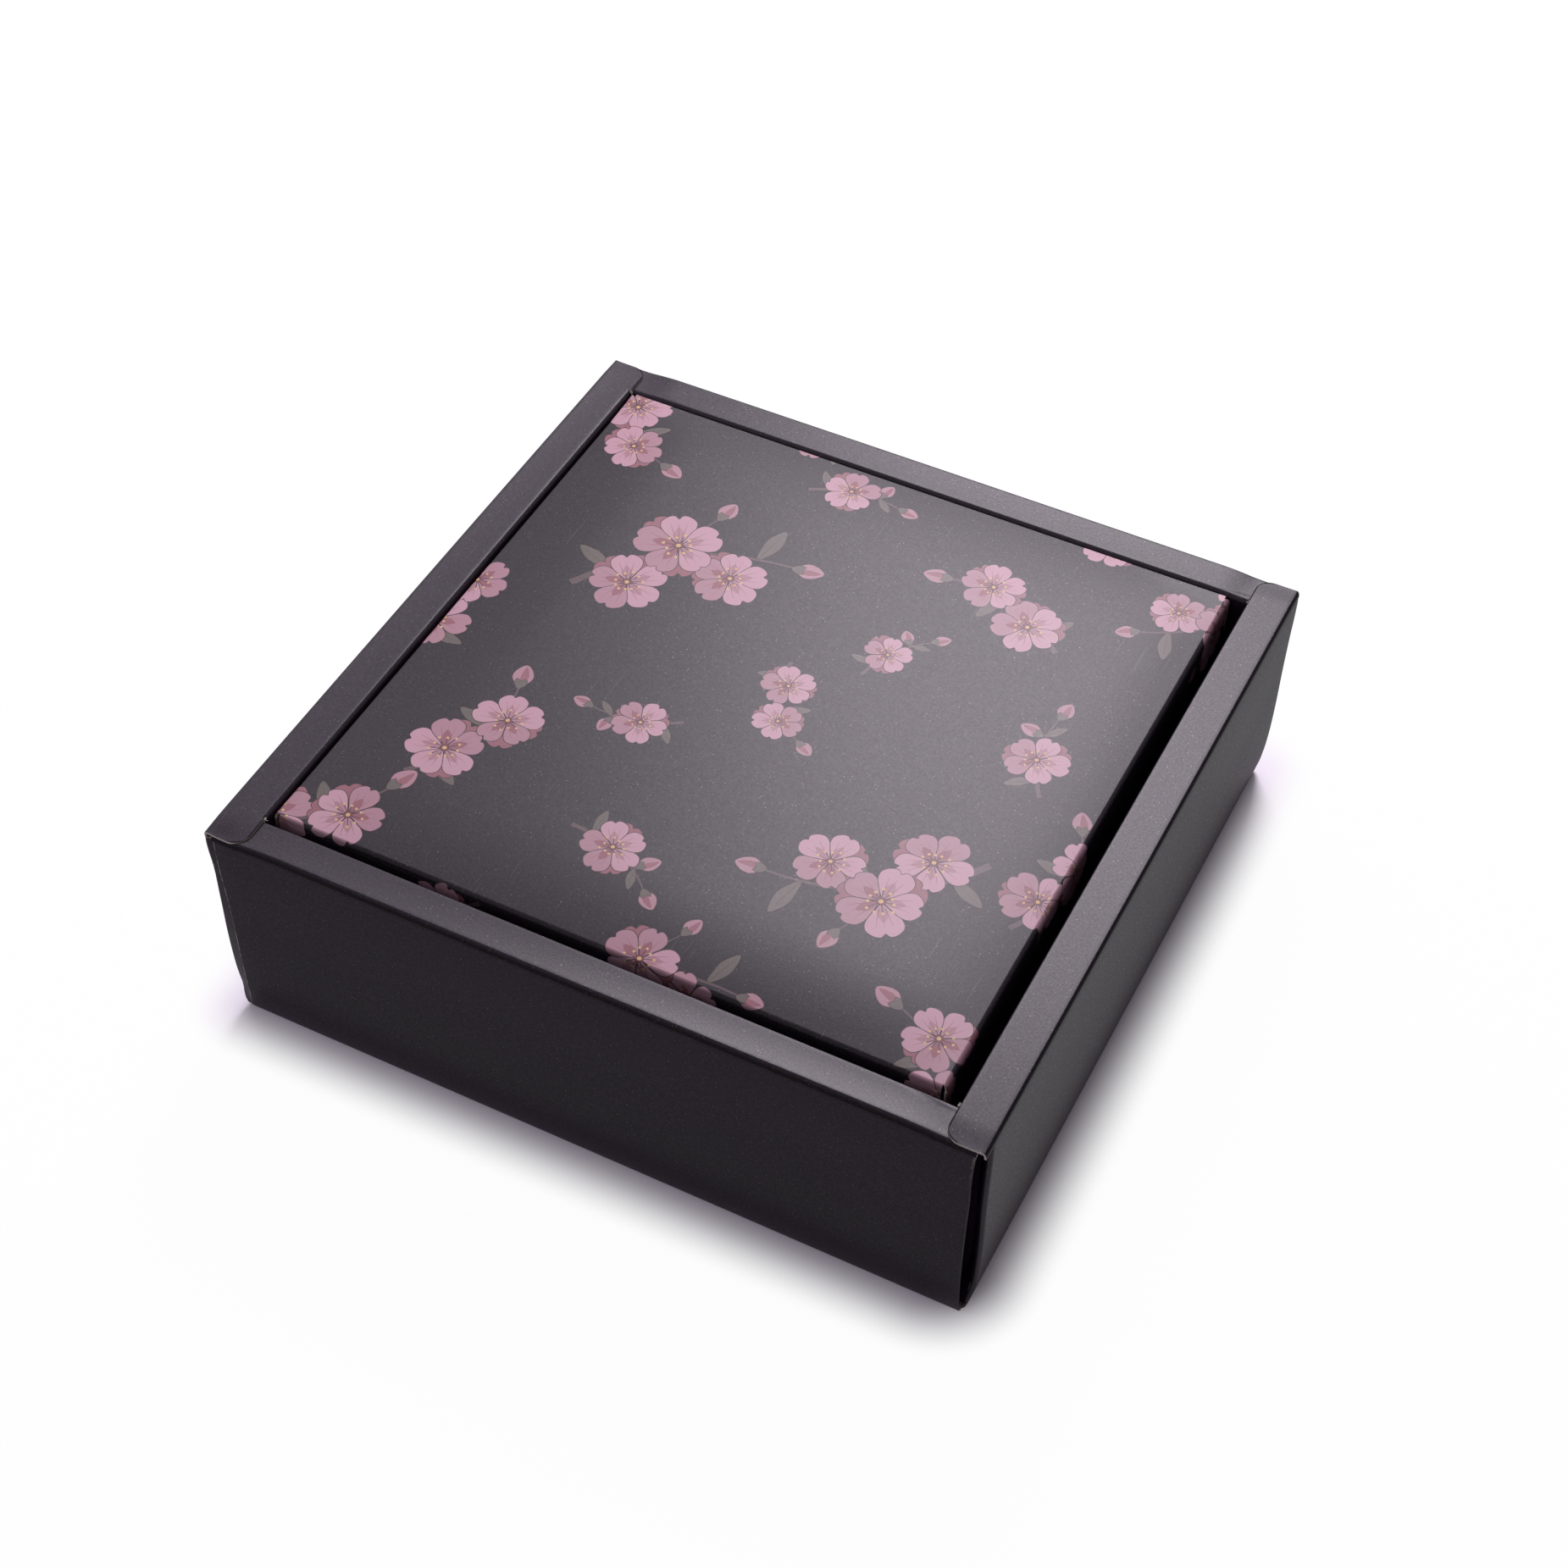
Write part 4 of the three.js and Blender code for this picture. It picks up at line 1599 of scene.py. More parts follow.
@dataclass
class Brush:
    """Draws one spray, in a frame whose unit is the spray's length."""

    place: Vector
    angle: float
    length: float
    rng: random.Random
    shapes: list[Shape] = field(default_factory=list)

    def put(self, ink: Ink, outline: Iterable[Vector]) -> None:
        """Adds a patch of ink, given in the spray's frame."""
        self.shapes.append(Shape(ink, tuple(laid(outline, self.place, self.angle, self.length))))

    def lined(self, ink: Ink, outline: Sequence[Vector], weight: float = 0.2) -> None:
        """Adds a patch with a thin dark line round it, of a weight in millimetres."""
        self.put(Ink.LINE, grown(outline, weight / self.length))
        self.put(ink, outline)

    def ribbon(self, ink: Ink, spine: Sequence[Vector], widths: Sequence[float]) -> None:
        """Adds a tapering band along a spine.

        Args:
            ink: Its ink.
            spine: Its middle line.
            widths: Its half widths at the spine's points.
        """
        low, high = [], []
        for k, place in enumerate(spine):
            way = (spine[min(k + 1, len(spine) - 1)] - spine[max(k - 1, 0)]).normalized()
            across = Vector((-way.y, way.x)) * widths[k]
            low.append(place - across)
            high.append(place + across)
        self.put(ink, low + high[::-1])

    def petal(self, at: Vector, angle: float, size: float, ink: Ink) -> None:
        """Draws a petal with a notched tip, its hollow and its veins.

        Args:
            at: The flower's middle.
            angle: The way that the petal points.
            size: Its length.
            ink: Its ink.
        """
        wide = 0.41 * self.rng.uniform(0.92, 1.08)
        notch = 0.9 + self.rng.uniform(-0.02, 0.02)
        low = [(x, -y * wide) for x, y in HALF_PETAL]
        high = [(x, y * wide) for x, y in reversed(HALF_PETAL)]
        self.lined(ink, laid(rounded(low + [(notch, 0.0)] + high), at, angle, size))
        self.put(DEEPER[ink], laid(rounded(HOLLOW, 2), at, angle, size))
        turned = Matrix.Rotation(angle, 2)
        for lean in (-0.16, 0.0, 0.16):
            tip = turned @ Vector((0.72, lean * 1.2)) * size
            foot = turned @ Vector((0.2, lean * 0.4)) * size
            self.ribbon(Ink.DUSK, [at + foot, at + tip], [0.012 * size, 0.003 * size])

    def blossom(self, at: Pair, size: float) -> None:
        """Draws an open blossom, seen from the front.

        Args:
            at: Its middle.
            size: The length of its petals.
        """
        middle = Vector(at)
        start = self.rng.uniform(0, math.tau)
        for k in self.rng.sample(range(5), 2):
            angle = start + (k + 0.5) * math.tau / 5
            self.petal(middle, angle, size * self.rng.uniform(1.0, 1.08), Ink.DUSK)
        for k, ink in zip((0, 2, 4, 1, 3), (Ink.BLUSH, Ink.PALE, Ink.PALE, Ink.BLUSH, Ink.PALE)):
            self.petal(middle, start + k * math.tau / 5, size * self.rng.uniform(0.94, 1.05), ink)
        self.dot(Ink.ROSE, middle, size, 0.13, 10)
        for angle in self.turns(11):
            reach = size * self.rng.uniform(0.26, 0.42)
            way = heading(angle)
            line = [middle + way * size * 0.08, middle + way * reach]
            self.ribbon(Ink.LINE, line, [0.012 * size, 0.008 * size])
            self.dot(Ink.POLLEN, middle + way * reach, size, 0.042, 6)
        self.dot(Ink.POLLEN, middle, size, 0.06, 8)

    def dot(self, ink: Ink, at: Vector, size: float, share: float, corners: int) -> None:
        """Draws a dot whose radius is a share of a size."""
        self.put(ink, [at + heading(a) * size * share for a in self.turns(corners)])

    @staticmethod
    def turns(count: int) -> list[float]:
        """Angles spread evenly round a full turn."""
        return [math.tau * k / count for k in range(count)]

    def bud(self, at: Pair, angle: float, size: float) -> None:
        """Draws a closed bud in its calyx.

        Args:
            at: Its foot.
            angle: The way that it points.
            size: Its length.
        """
        lie = (Vector(at), angle, size)
        self.lined(Ink.BLUSH, laid(rounded(BUD), *lie))
        self.put(Ink.DUSK, laid(rounded(BUD_FOLD, 2), *lie))
        self.lined(Ink.LEAF, laid(rounded(CALYX, 2), *lie), THIN_LINE)

    def leaf(self, at: Pair, angle: float, size: float) -> None:
        """Draws a narrow leaf with its rib.

        Args:
            at: Its foot.
            angle: The way that it points.
            size: Its length.
        """
        lie = (Vector(at), angle, size)
        self.lined(Ink.LEAF, laid(rounded(BLADE), *lie), THIN_LINE)
        spine = laid((Vector(p) for p in RIB), *lie)
        self.ribbon(Ink.TWIG, spine, [0.012 * size, 0.009 * size, 0.003 * size])

    def stem(self, start: Pair, bend: Pair, end: Pair, width: float) -> None:
        """Draws a bent, tapering stem.

        Args:
            start: Its thick end.
            bend: The point that it leans towards.
            end: Its thin end.
            width: Its width at the thick end.
        """
        a, b, c = Vector(start), Vector(bend), Vector(end)
        spine = [a.lerp(b, t).lerp(b.lerp(c, t), t) for t in (k / 10 for k in range(11))]
        self.ribbon(Ink.TWIG, spine, [width * (0.5 - 0.035 * k) for k in range(11)])

    def spray(self, kind: Spray) -> list[Shape]:
        """Draws a whole spray.

        Args:
            kind: Which kind.

        Returns:
            Its patches, the lowest first.
        """
        for draw, *sizes in SPRAYS[kind]:
            draw(self, *sizes)
        return self.shapes


SPRAYS = {
    Spray.BOUGH: (
        (Brush.stem, (-0.5, -0.1), (-0.05, 0.2), (0.47, -0.02), 0.035),
        (Brush.stem, (-0.12, 0.05), (0.02, 0.2), (0.14, 0.3), 0.016),
        (Brush.leaf, (-0.34, -0.02), 2.2, 0.2),
        (Brush.leaf, (0.3, 0.04), 0.9, 0.22),
        (Brush.leaf, (0.02, 0.06), -1.2, 0.2),
        (Brush.bud, (0.14, 0.3), 0.9, 0.12),
        (Brush.bud, (0.46, -0.02), -0.3, 0.13),
        (Brush.blossom, (-0.26, -0.1), 0.17),
        (Brush.blossom, (0.18, -0.08), 0.16),
        (Brush.blossom, (-0.04, 0.13), 0.19),
    ),
    Spray.PAIR: (
        (Brush.stem, (-0.48, 0.1), (0.0, -0.14), (0.45, 0.1), 0.036),
        (Brush.leaf, (-0.3, 0.04), -1.9, 0.24),
        (Brush.leaf, (0.08, -0.02), 1.5, 0.25),
        (Brush.bud, (0.44, 0.1), 0.5, 0.18),
        (Brush.blossom, (-0.2, 0.06), 0.23),
        (Brush.blossom, (0.2, -0.05), 0.21),
    ),
    Spray.SINGLE: (
        (Brush.stem, (-0.48, -0.06), (0.0, 0.1), (0.42, -0.1), 0.04),
        (Brush.leaf, (-0.3, 0.0), 1.9, 0.26),
        (Brush.leaf, (0.2, 0.0), -1.0, 0.22),
        (Brush.bud, (0.2, 0.02), 1.1, 0.2),
        (Brush.bud, (0.42, -0.1), -0.4, 0.2),
        (Brush.blossom, (-0.08, 0.02), 0.27),
    ),
}

LAYOUT: tuple[tuple[float, float, float, float, Spray], ...] = (
    (-41, 33, 28, 60, Spray.BOUGH),
    (47, -41, 204, 55, Spray.BOUGH),
    (39, 58, 160, 40, Spray.PAIR),
    (-58, -44, 75, 42, Spray.PAIR),
    (-9, -62, 340, 30, Spray.SINGLE),
    (3, 0, 300, 30, Spray.PAIR),
    (66, 14, 105, 30, Spray.SINGLE),
    (-80, 76, 310, 40, Spray.PAIR),
    (-14, 79, 12, 28, Spray.SINGLE),
    (86, 80, 228, 46, Spray.BOUGH),
    (87, -22, 84, 38, Spray.PAIR),
    (14, -92, 18, 48, Spray.BOUGH),
    (-88, -4, 98, 42, Spray.PAIR),
    (-80, -84, 38, 44, Spray.PAIR),
    (84, -84, 130, 42, Spray.PAIR),
    (-27, -22, 196, 26, Spray.SINGLE),
    (20, 29, 62, 24, Spray.SINGLE),
    (46, 94, 352, 36, Spray.PAIR),
    (-36, 96, 170, 30, Spray.SINGLE),
    (-44, -96, 200, 30, Spray.SINGLE),
    (-46, -128, 20, 44, Spray.BOUGH),
    (58, -126, 165, 36, Spray.PAIR),
    (122, 42, 70, 40, Spray.PAIR),
    (126, -44, 280, 48, Spray.BOUGH),
    (-122, 46, 110, 48, Spray.BOUGH),
    (-124, -42, 260, 36, Spray.PAIR),
    (6, 130, 10, 48, Spray.BOUGH),
    (-62, 126, 190, 36, Spray.PAIR),
)


def blossom_print(seed: int = 11) -> list[Shape]:
    """Draws the whole print on the flat sheet.

    Args:
        seed: Seed of the small differences between flowers.

    Returns:
        Its patches, the lowest first.
    """
    rng = random.Random(seed)
    shapes: list[Shape] = []
    for x, y, angle, length, kind in LAYOUT:
        shapes += Brush(Vector((x, y)), math.radians(angle), length, rng).spray(kind)
    return shapes


Fold = Callable[[Vector], tuple[Vector, float]]
Cut = tuple[Vector, Vector]


@dataclass
class Lid:
    """The printed lid: a top, four skirts and glued corner tabs, folded from one sheet."""

    press: Press
    centre: Vector = field(default_factory=lambda: Vector((-2.05, 1.4, 64.8)))
    half_x: float = 87.45
    half_y: float = 88.25
    height: float = 63.8
    fold: float = 1.3
    crisp_fold: float = 0.35
    tab_fold: float = 0.8
    slit: float = 0.3
    tab_length: float = 16.0
    tab_margin: float = 4.0
    tab_taper: float = 5.0
    wave: float = 0.05
    wave_length: float = 62.0
    crown: float = 1.3
    droop: float = 1.15
    left_droop: float = 1.45
    back_droop: float = 0.55
    droop_width: float = 26.0
    hollow: float = 0.3
    hollow_depth: float = 62.0
    hollow_length: float = 70.0
    tab_tuck: float = 0.05
    foot_gap: float = 0.1
    grid: float = 6.0
    shapes: list[Shape] = field(default_factory=blossom_print)

    @property
    def flat_x(self) -> float:
        """Half width of the flat top."""
        return self.half_x - self.fold

    @property
    def flat_y(self) -> float:
        """Half depth of the flat top."""
        return self.half_y - self.fold

    @property
    def crease(self) -> float:
        """Length of a top crease over its bend."""
        return self.fold * QUARTER

    @property
    def end_half(self) -> float:
        """Half length of the front and back skirts between their upright folds."""
        return self.half_x - self.press.board - self.tab_fold

    def radius(self, side: Side) -> float:
        """Radius of a top crease, which is crisp at the back and the left."""
        return self.crisp_fold if side in (Side.BACK, Side.LEFT) else self.fold

    def drop_of(self, side: Side) -> float:
        """Height that a top crease takes up."""
        return self.radius(side) + (self.fold - self.radius(side)) * (QUARTER - 1)

    def fall(self, x: float, y: float) -> float:
        """How far the top droops at a place: least along the back.

        Args:
            x: Distance from the middle along the front.
            y: Distance from the middle towards the back.

        Returns:
            The droop.
        """
        ends = ((self.half_x, x), (self.half_y, y))
        near_x, near_y = (1 - min(max((h - abs(c)) / self.droop_width, 0), 1) for h, c in ends)
        droop_y = self.back_droop if y > 0 else self.droop
        droop_x = self.left_droop if x < 0 else self.droop
        return droop_x * near_x**2 * (1 - near_y**2) + droop_y * near_y**2

    def skirt_top(self, side: Side, along: float = 0.0) -> float:
        """Height at which a skirt leaves its top crease."""
        edge = side.place(self.half_y if side.is_end else self.half_x, along, 0)
        return self.crown - self.fall(edge.x, edge.y) - self.wave - self.drop_of(side)

    @property
    def skirt_foot(self) -> float:
        """Height of the skirts' lower edges."""
        return self.foot_gap - self.wave - self.height

    def over(self, beyond: float, radius: float) -> Triple:
        """Follows the sheet over a top crease.

        Args:
            beyond: Distance past the crease's beginning.
            radius: The crease's radius.

        Returns:
            How far it goes out, how far it drops, and how much painted crease shade it carries.
        """
        lead = self.fold - radius
        angle = min(max(beyond - lead, 0) / radius, QUARTER)
        rest = max(beyond - lead - radius * QUARTER, 0)
        # painted shade, darkest halfway round the crease
        dark = max(math.sin(2 * angle), 0) ** TOP_DARKNESS
        out = min(max(beyond, 0), lead) + radius * math.sin(angle)
        return out, radius * (1 - math.cos(angle)) + rest, dark

    def fold_top(self, flat: Vector) -> tuple[Vector, float]:
        """Folds a point of the top and its creases.

        Args:
            flat: The point on the flat sheet.

        Returns:
            Its place and its painted crease shade.
        """
        side_x = Side.RIGHT if flat.x > 0 else Side.LEFT
        side_y = Side.BACK if flat.y > 0 else Side.FRONT
        out_x, drop_x, dark_x = self.over(abs(flat.x) - self.flat_x, self.radius(side_x))
        out_y, drop_y, dark_y = self.over(abs(flat.y) - self.flat_y, self.radius(side_y))
        x = math.copysign(min(abs(flat.x), self.flat_x) + out_x, flat.x)
        y = math.copysign(min(abs(flat.y), self.flat_y) + out_y, flat.y)
        lie = Vector((flat.x / self.wave_length, flat.y / self.wave_length, 1.3))
        sag = self.wave * (1 + noise.noise(lie))
        return Vector((x, y, self.crown - self.fall(x, y) - drop_x - drop_y - sag)), max(dark_x, dark_y)

    def skirt_depth(self, side: Side) -> float:
        """Depth of a skirt in its middle."""
        return self.skirt_top(side) - self.skirt_foot

    def fold_skirt(self, side: Side) -> Fold:
        """Makes the rule that folds a skirt and its tabs.

        Args:
            side: The skirt's side.

        Returns:
            The rule.
        """
        half, flat_half = (self.half_y, self.flat_y) if side.is_end else (self.half_x, self.flat_x)
        deep = self.skirt_depth(side)

        def rule(flat: Vector) -> tuple[Vector, float]:
            """Folds a point of the skirt."""
            place = Vector((flat.x, flat.y, 0))
            down = place.dot(side.out) - flat_half - self.crease
            along = place.dot(side.along)
            middle = math.sin(math.pi * min(max(down / self.hollow_depth, 0), 1))
            lie = Vector((along / self.hollow_length, half, 2.1))
            hollow = self.hollow * middle * abs(noise.noise(lie))
            round_end = max(abs(along) - self.end_half, 0) if side.is_end else 0.0
            angle = min(round_end / self.tab_fold, QUARTER)
            rest = max(round_end - self.tab_fold * QUARTER, 0)
            turned = self.end_half + self.tab_fold * math.sin(angle) - self.tab_tuck * min(rest, 1)
            if round_end > 0:
                along = math.copysign(turned, along)
            back = self.tab_fold * (1 - math.cos(angle)) + rest
            top = self.skirt_top(side, along)
            up = top + (self.skirt_foot - top) * down / deep
            return side.place(half - back - hollow, along, up), 0.0

        return rule

    def lay_ink(self, outline: Sequence[Pair], cuts: Sequence[Cut]) -> tuple[list, list, list]:
        """Cuts a panel of the flat sheet into triangles that follow the print.

        Args:
            outline: The panel's outline.
            cuts: Lines that the triangles must not cross, such as those along a crease.

        Returns:
            Flat points, triangles, and the ink of each triangle.
        """
        points = [Vector(p) for p in outline]
        low = Vector((min(p.x for p in points), min(p.y for p in points)))
        high = Vector((max(p.x for p in points), max(p.y for p in points)))
        faces = [list(range(len(points)))]
        inks = [Ink.GROUND]
        for shape in self.shapes:
            if any(low.x <= p.x <= high.x and low.y <= p.y <= high.y for p in shape.outline):
                faces.append(list(range(len(points), len(points) + len(shape.outline))))
                points += shape.outline
                inks.append(shape.ink)
        edges = []
        for cut in cuts:
            edges.append((len(points), len(points) + 1))
            points += cut
        across, deep = (max(int((high - low)[k] / self.grid), 1) for k in (0, 1))
        wide, tall = high.x - low.x, high.y - low.y
        for i in range(1, across):
            points += [low + Vector((wide * i / across, tall * j / deep)) for j in range(1, deep)]
        spots, _, cells, _, _, covers = delaunay_2d_cdt(points, edges, faces, 0, 1e-5, True)
        kept = [(tuple(c), inks[max(o)]) for c, o in zip(cells, covers) if 0 in o]
        return list(spots), [c for c, _ in kept], [ink for _, ink in kept]

    def board_mesh(
        self, name: str, outline: Sequence[Pair], cuts: Sequence[Cut], fold: Fold
    ) -> bpy.types.Mesh:
        """Makes a closed board from a printed panel of the flat sheet.

        Args:
            name: The mesh's name.
            outline: The panel's outline, anticlockwise on the printed face.
            cuts: Lines that the triangles keep to.
            fold: The rule that folds it.

        Returns:
            The mesh, in metres, with its normals, inks and painted crease shade.
        """
        spots, cells, inks = self.lay_ink(outline, cuts)
        used = sorted({k for cell in cells for k in cell})
        new = {old: k for k, old in enumerate(used)}
        cells = [tuple(new[k] for k in cell) for cell in cells]
        flat = [spots[k] for k in used]
        folded = [fold(p) for p in flat]
        steps = (Vector((0.02, 0)), Vector((0, 0.02)))
        normals = []
        for p in flat:
            ahead, aside = (fold(p + step)[0] - fold(p - step)[0] for step in steps)
            normals.append(ahead.cross(aside).normalized())
        count = len(flat)
        face = [self.centre + place for place, _ in folded]
        back = [place - normal * self.press.board for place, normal in zip(face, normals)]
        sides = dict.fromkeys(pair for cell in cells for pair in zip(cell, cell[1:] + cell[:1]))
        rims = [(a, b) for a, b in sides if (b, a) not in sides]
        faces = cells + [tuple(k + count for k in reversed(cell)) for cell in cells]
        faces += [(b, a, a + count, b + count) for a, b in rims]
        mesh = bpy.data.meshes.new(name)
        mesh.from_pydata([p * MM for p in face + back], [], faces)
        for finish in (PRINTED, BARE, CUT):
            mesh.materials.append(finish.material())
        slots = [0] * len(cells) + [1] * len(cells) + [2] * len(rims)
        mesh.polygons.foreach_set("material_index", slots)
        hold_crease_shade(mesh, [c for _, c in folded] * 2)
        shades = {ink: linear(ink.value) for ink in Ink}
        colours = []
        corners = []
        for k, polygon in enumerate(mesh.polygons):
            shade = shades[inks[k]] if k < len(cells) else shades[Ink.GROUND]
            for vertex in polygon.vertices:
                colours.extend(shade)
                if slots[k] == 2:
                    corners.append(polygon.normal.copy())
                else:
                    corners.append(normals[vertex] if vertex < count else -normals[vertex - count])
        mesh.color_attributes.new("ink", "FLOAT_COLOR", "CORNER").data.foreach_set("color", colours)
        mesh.shade_smooth()
        mesh.normals_split_custom_set(corners)
        return mesh

    def finish_piece(self, node: str, mesh: bpy.types.Mesh) -> None:
        """Places a board of the lid and has it stand for its node.

        Args:
            node: The CAD node.
            mesh: The board.
        """
        piece = place_object(f"{node}_board", mesh)
        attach(piece, "lid")
        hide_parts(node)
        log.info("%s: %d faces", piece.name, len(mesh.polygons))

    def top(self) -> None:
        """Builds the top with its four creases."""
        x, y, crease = self.flat_x, self.flat_y, self.crease
        side_half = self.half_y - self.slit
        outline = [
            (-x, -y), (-self.end_half, -y - crease), (self.end_half, -y - crease), (x, -y),
            (x + crease, -side_half), (x + crease, side_half), (x, y),
            (self.end_half, y + crease), (-self.end_half, y + crease), (-x, y),
            (-x - crease, side_half), (-x - crease, -side_half),
        ]  # fmt: skip
        cuts = []
        for side in Side:
            lead, turn = self.fold - self.radius(side), self.radius(side) * QUARTER
            start, reach = (x, self.end_half) if side.is_end else (y, side_half)
            for gap in {-0.5, -0.12, 0.0, lead - 0.1, *(lead + turn * k / 9 for k in range(10))}:
                if gap < crease - 0.01:
                    along = start + (reach - start) * max(gap, 0) / crease
                    out = (y if side.is_end else x) + gap
                    cuts.append(tuple(side.place(out, a, 0).to_2d() for a in (-along, along)))
        self.finish_piece("lid_top", self.board_mesh("lid_top", outline, cuts, self.fold_top))

    def flat_place(self, side: Side, down: float, along: float) -> Pair:
        """Where a point of a skirt lies on the flat sheet.

        Args:
            side: The skirt's side.
            down: Distance below its crease.
            along: Distance along it.

        Returns:
            The flat point.
        """
        flat_half = self.flat_y if side.is_end else self.flat_x
        place = side.place(flat_half + self.crease + down, along, 0)
        return place.x, place.y

    def skirt(self, side: Side) -> None:
        """Builds a skirt."""
        half = self.end_half if side.is_end else self.half_y - self.slit
        deep = self.skirt_depth(side)
        places = ((0, -half), (deep, -half), (deep, half), (0, half))
        outline = [self.flat_place(side, *p) for p in places]
        node = f"lid_skirt_{side.value}"
        self.finish_piece(node, self.board_mesh(node, outline, [], self.fold_skirt(side)))

    def corner_tab(self, corner: Corner) -> None:
        """Builds the tab that turns round a corner and is glued behind a side skirt."""
        side = corner.end
        way = corner.value[0] * side.along.x
        deep = self.skirt_depth(side)
        margin, turn = self.tab_margin, self.tab_fold * QUARTER
        start, end = self.end_half, self.end_half + turn + self.tab_length
        low = margin + self.tab_taper
        foot = deep - margin
        places = [(margin, start), (foot, start), (foot, start + turn)]
        places += [(deep - low, end), (low, end), (margin, start + turn)]
        outline = [self.flat_place(side, d, way * a) for d, a in places]
        if way < 0:
            outline.reverse()
        cuts = []
        for k in range(1, 7):
            a = way * (start + turn * k / 6)
            cuts.append(tuple(Vector(self.flat_place(side, d, a)) for d in (margin, foot)))
        node = f"lid_corner_tab_{corner.words}"
        self.finish_piece(node, self.board_mesh(node, outline, cuts, self.fold_skirt(side)))

    def build(self) -> None:
        """Builds every board of the lid."""
        self.top()
        for side in Side:
            self.skirt(side)
        for corner in Corner:
            self.corner_tab(corner)


class FibreTree(Grower):
    """Geometry Nodes that leave tufts of torn fibres at given points."""

    def __init__(self) -> None:
        """Builds the tree."""
        wanted = {"Points": "Geometry", "Fibres": "Int", "Spread": "Float", "Length": "Float"}
        wanted |= {"Thickness": "Float", "Seed": "Int", "Paper": "Material"}
        super().__init__("torn_fibres", wanted, "Tufts")
        graph, given = self.graph, self.given
        seed, length = given["Seed"], given["Length"]
        inputs = {"Geometry": given["Points"], "Amount": given["Fibres"]}
        roots = graph.node("GeometryNodeDuplicateElements", inputs, domain="POINT")
        toss = self.lot("FLOAT_VECTOR", (-1, -1, -0.4), (1, 1, 0.4), seed)
        away = graph.scaled(toss, given["Spread"])
        roots = graph.node("GeometryNodeSetPosition", {"Geometry": roots, "Offset": away})
        tip, bend = (self.lengths(length, shares) for shares in ((1.0, 0.3, 0.1), (0.5, -0.2, 0.2)))
        inputs = {"Resolution": 4, "Start": (0.0, 0.0, 0.0), "Middle": bend, "End": tip}
        line = graph.node("GeometryNodeCurveQuadraticBezier", inputs)
        inputs = {"Resolution": 5, "Radius": given["Thickness"] * 0.5}
        ring = graph.node("GeometryNodeCurvePrimitiveCircle", inputs)
        inputs = {"Curve": line, "Profile Curve": ring, "Fill Caps": True}
        fibre = graph.node("GeometryNodeCurveToMesh", inputs)
        turn = self.lot("FLOAT_VECTOR", (-0.4, -0.5, 0), (0.4, 0.5, math.tau), seed + 1)
        size = self.lot("FLOAT", 0.4, 1.0, seed + 2)
        inputs = {"Points": roots, "Instance": fibre, "Rotation": turn, "Scale": size}
        self.end(graph.node("GeometryNodeInstanceOnPoints", inputs), given["Paper"])

    def lengths(self, length: Value, shares: Sequence[float]) -> Value:
        """A vector whose parts are shares of a length."""
        parts = {axis: length * share for axis, share in zip("XYZ", shares)}
        return self.graph.node("ShaderNodeCombineXYZ", parts)

    def lot(self, kind: str, low: Any, high: Any, seed: Value) -> Value:
        """A random value between two."""
        inputs = {"Min": low, "Max": high, "Seed": seed}
        return self.graph.node("FunctionNodeRandomValue", inputs, data_type=kind)

    def scatter(self, name: str, places: Sequence[Vector], seed: int) -> bpy.types.Object:
        """Leaves a tuft at each place.

        Args:
            name: The piece's name.
            places: Where, in millimetres.
            seed: The seed of their lie.

        Returns:
            The tufts as one plain mesh.
        """
        mesh = bpy.data.meshes.new(name)
        mesh.from_pydata([p * MM for p in places], [], [])
        sizes = {"Spread": 0.35 * MM, "Length": 0.9 * MM, "Thickness": 0.09 * MM}
        values = {"Fibres": 26, "Seed": seed, "Paper": TORN.material(), **sizes}
        piece = self.grow(name, mesh, values)
        piece.data.shade_smooth()
        return piece


# The studio


@dataclass(frozen=True)
class Lamp:
    """A rectangular lamp: its place and its width and height in metres, its power and its colour."""

    name: str
    place: Triple
    size: Pair
    watts: float
    colour: Triple


LAMPS = (
    Lamp("key_lamp", (-0.19, 0.78, 0.9), (0.42, 0.42), 11.0, (1.0, 0.925, 1.0)),
    Lamp("broad_lamp", (-0.45, 0.85, 0.95), (1.3, 0.9), 8.0, (1.0, 0.935, 1.0)),
    Lamp("fill_lamp", (-0.5, -1.1, 1.0), (0.9, 0.9), 2.0, (0.97, 0.93, 1.0)),
    Lamp("side_lamp", (-1.3, -0.5, 0.5), (0.8, 0.8), 4.0, (0.97, 0.93, 1.0)),
)


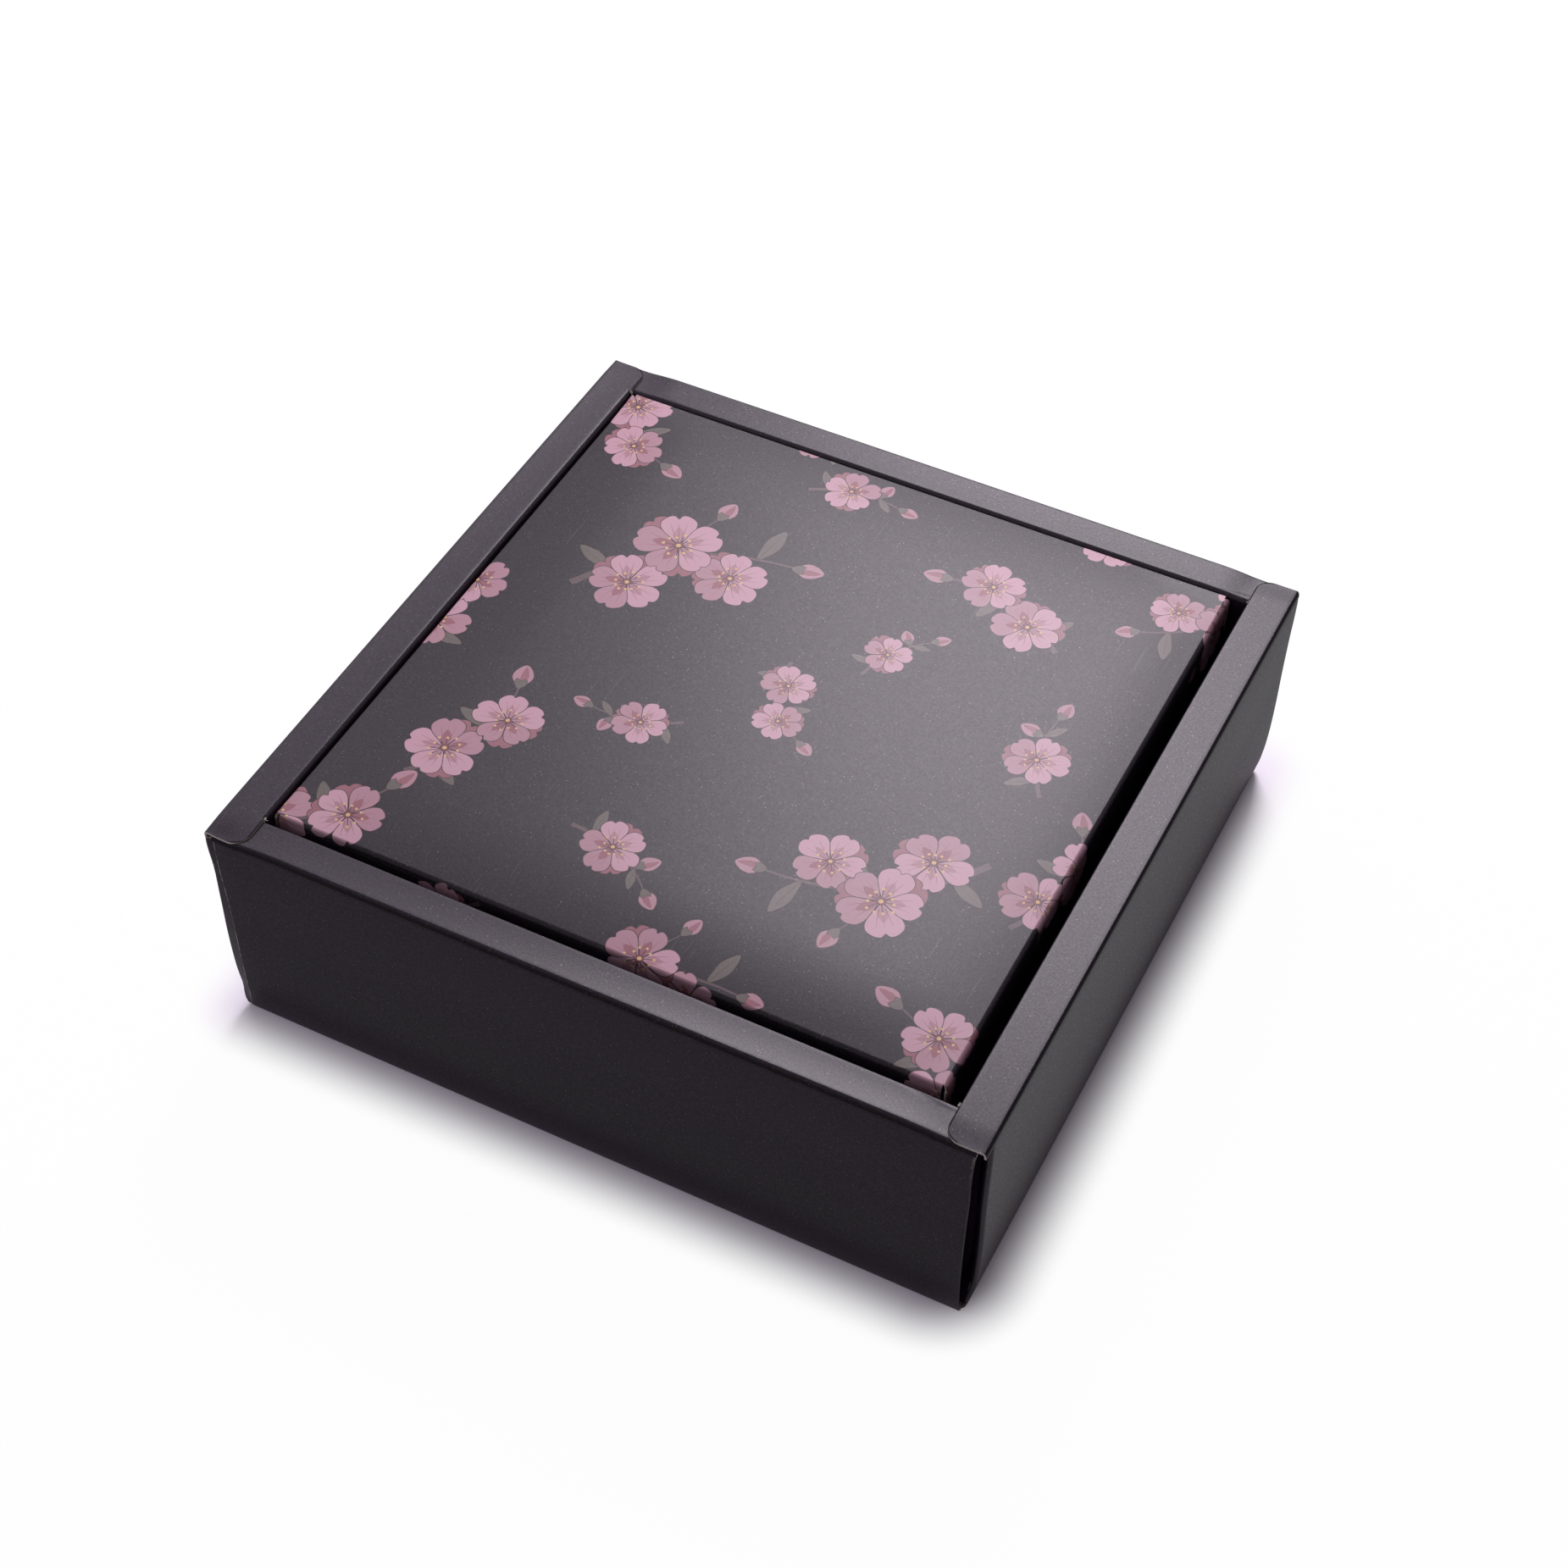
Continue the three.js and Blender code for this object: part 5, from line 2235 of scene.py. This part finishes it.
@dataclass
class Studio:
    """The camera, a pale floor and soft lamps."""

    eye: Vector = field(default_factory=lambda: Vector((0.212084, -0.438392, 0.562024)))
    azimuth: float = 0.4457633
    elevation: float = 0.8221381
    roll: float = 0.0277225
    lens: float = 64.87
    floor_colour: Sequence[float] = (0.89, 0.85, 0.93, 1)
    floor_half: float = 6.0
    floor_level: float = -0.00005
    shade_half: Pair = (0.098, 0.0972)  # where the shadow begins to fade
    shade_round: float = 0.012  # its rounding at the front right
    shade_width: float = 0.017
    whitest: float = 0.97
    room_colour: Sequence[float] = (0.98, 0.92, 1.0, 1)
    room_strength: float = 0.2

    def camera(self) -> None:
        """Sets the camera at the photograph's viewpoint."""
        data = bpy.data.cameras.new("camera")
        data.sensor_width = 36.0
        data.sensor_fit = "HORIZONTAL"
        data.lens = self.lens
        data.clip_start, data.clip_end = 0.01, 40.0
        flat = math.cos(self.elevation)
        swing_x, swing_y = math.cos(self.azimuth), math.sin(self.azimuth)
        back = Vector((swing_y * flat, -swing_x * flat, math.sin(self.elevation)))
        right = Vector((swing_x, swing_y, 0))
        up = back.cross(right)
        x = right * math.cos(self.roll) + up * math.sin(self.roll)
        y = up * math.cos(self.roll) - right * math.sin(self.roll)
        camera = bpy.data.objects.new("camera", data)
        camera.matrix_world = Matrix.Translation(self.eye) @ Matrix((x, y, back)).transposed().to_4x4()
        bpy.context.scene.collection.objects.link(camera)
        bpy.context.scene.camera = camera

    def seen(self, graph: Graph) -> Value:
        """1 for rays that see the background: from the camera, by reflection or through glass."""
        path = graph.node("ShaderNodeLightPath")
        return path.most(path.also("Is Glossy Ray")).most(path.also("Is Transmission Ray"))

    def beyond(self, graph: Graph, point: Value, half: Sequence[float]) -> Value:
        """How far a point lies beyond a rectangle round the middle, on the sides of its positive axes."""
        past = graph.vector_maths("SUBTRACT", point, half)
        past = graph.vector_maths("MAXIMUM", past, (0.0, 0.0, 0.0))
        return graph.vector_maths("LENGTH", past).also("Value")

    def floor(self) -> None:
        """Lays a wide pale floor that keeps the box's shadow and fades to white beyond it."""
        half, level = self.floor_half, self.floor_level
        mesh = bpy.data.meshes.new("studio_floor")
        corners = [(-half, -half, level), (half, -half, level), (half, half, level), (-half, half, level)]
        mesh.from_pydata(corners, [], [(0, 1, 2, 3)])
        material = bpy.data.materials.new("studio_floor")
        material.use_nodes = True
        graph = Graph(material.node_tree)
        shaded = graph.node("ShaderNodeBsdfDiffuse", {"Color": self.floor_colour})
        white = graph.node("ShaderNodeEmission", {"Color": (1, 1, 1, 1), "Strength": 1.0})
        point = graph.node("ShaderNodeTexCoord").also("Object")
        mirrored = graph.vector_maths("MULTIPLY", point, (1.0, -1.0, 0.0))
        x, y = self.shade_half
        away = self.beyond(graph, graph.vector_maths("ABSOLUTE", point), (x, y, 1.0))
        soft = self.shade_round
        away = away.most(self.beyond(graph, mirrored, (x - soft, y - soft, 0.0)) - soft)
        share = self.seen(graph) * away.between(0.0, self.shade_width, 0.0, self.whitest)
        surface = graph.mix_shaders(share, shaded, white)
        graph.node("ShaderNodeOutputMaterial", {"Surface": surface})
        mesh.materials.append(material)
        place_object("studio_floor", mesh)

    def world(self) -> None:
        """A soft grey room that looks white behind the object."""
        world = bpy.data.worlds.new("studio")
        bpy.context.scene.world = world
        world.use_nodes = True
        graph = Graph(world.node_tree)
        lights = {"Color": self.room_colour, "Strength": self.room_strength}
        room = graph.node("ShaderNodeBackground", lights)
        white = graph.node("ShaderNodeBackground", {"Color": (1, 1, 1, 1), "Strength": 1.0})
        surface = graph.mix_shaders(self.seen(graph), room, white)
        graph.node("ShaderNodeOutputWorld", {"Surface": surface})

    def hang(self, lamp: Lamp, aim: Vector) -> None:
        """Hangs a lamp so that it faces a point."""
        data = bpy.data.lights.new(lamp.name, "AREA")
        data.shape = "RECTANGLE"
        data.size, data.size_y = lamp.size
        data.energy = lamp.watts
        data.color = lamp.colour
        made = bpy.data.objects.new(lamp.name, data)
        made.location = lamp.place
        made.rotation_euler = (Vector(lamp.place) - aim).to_track_quat("Z", "Y").to_euler()
        bpy.context.scene.collection.objects.link(made)

    def build(self) -> None:
        """Sets up the whole studio."""
        self.camera()
        self.floor()
        self.world()
        middle = Vector((0, 0, 0.05))
        for lamp in LAMPS:
            self.hang(lamp, middle)
        bpy.context.scene.view_settings.view_transform = "Standard"


TORN_PLACE = (90.3, 89.6, 65.6)  # where a slit ends, from the middle towards a corner


def main() -> None:
    """Builds the studio, the tray, the lid and the torn fibres."""
    logging.basicConfig(level=logging.INFO, format="%(name)s: %(message)s")
    Studio().build()
    press = Press()
    tray = Tray(press, StripTree())
    tray.build()
    Lid(press).build()
    notches = [tray.at(corner, *TORN_PLACE) for corner in Corner]
    tufts = FibreTree().scatter("torn_fibres", notches, seed=5)
    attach(tufts, "tray")


if __name__ == "__main__":
    main()
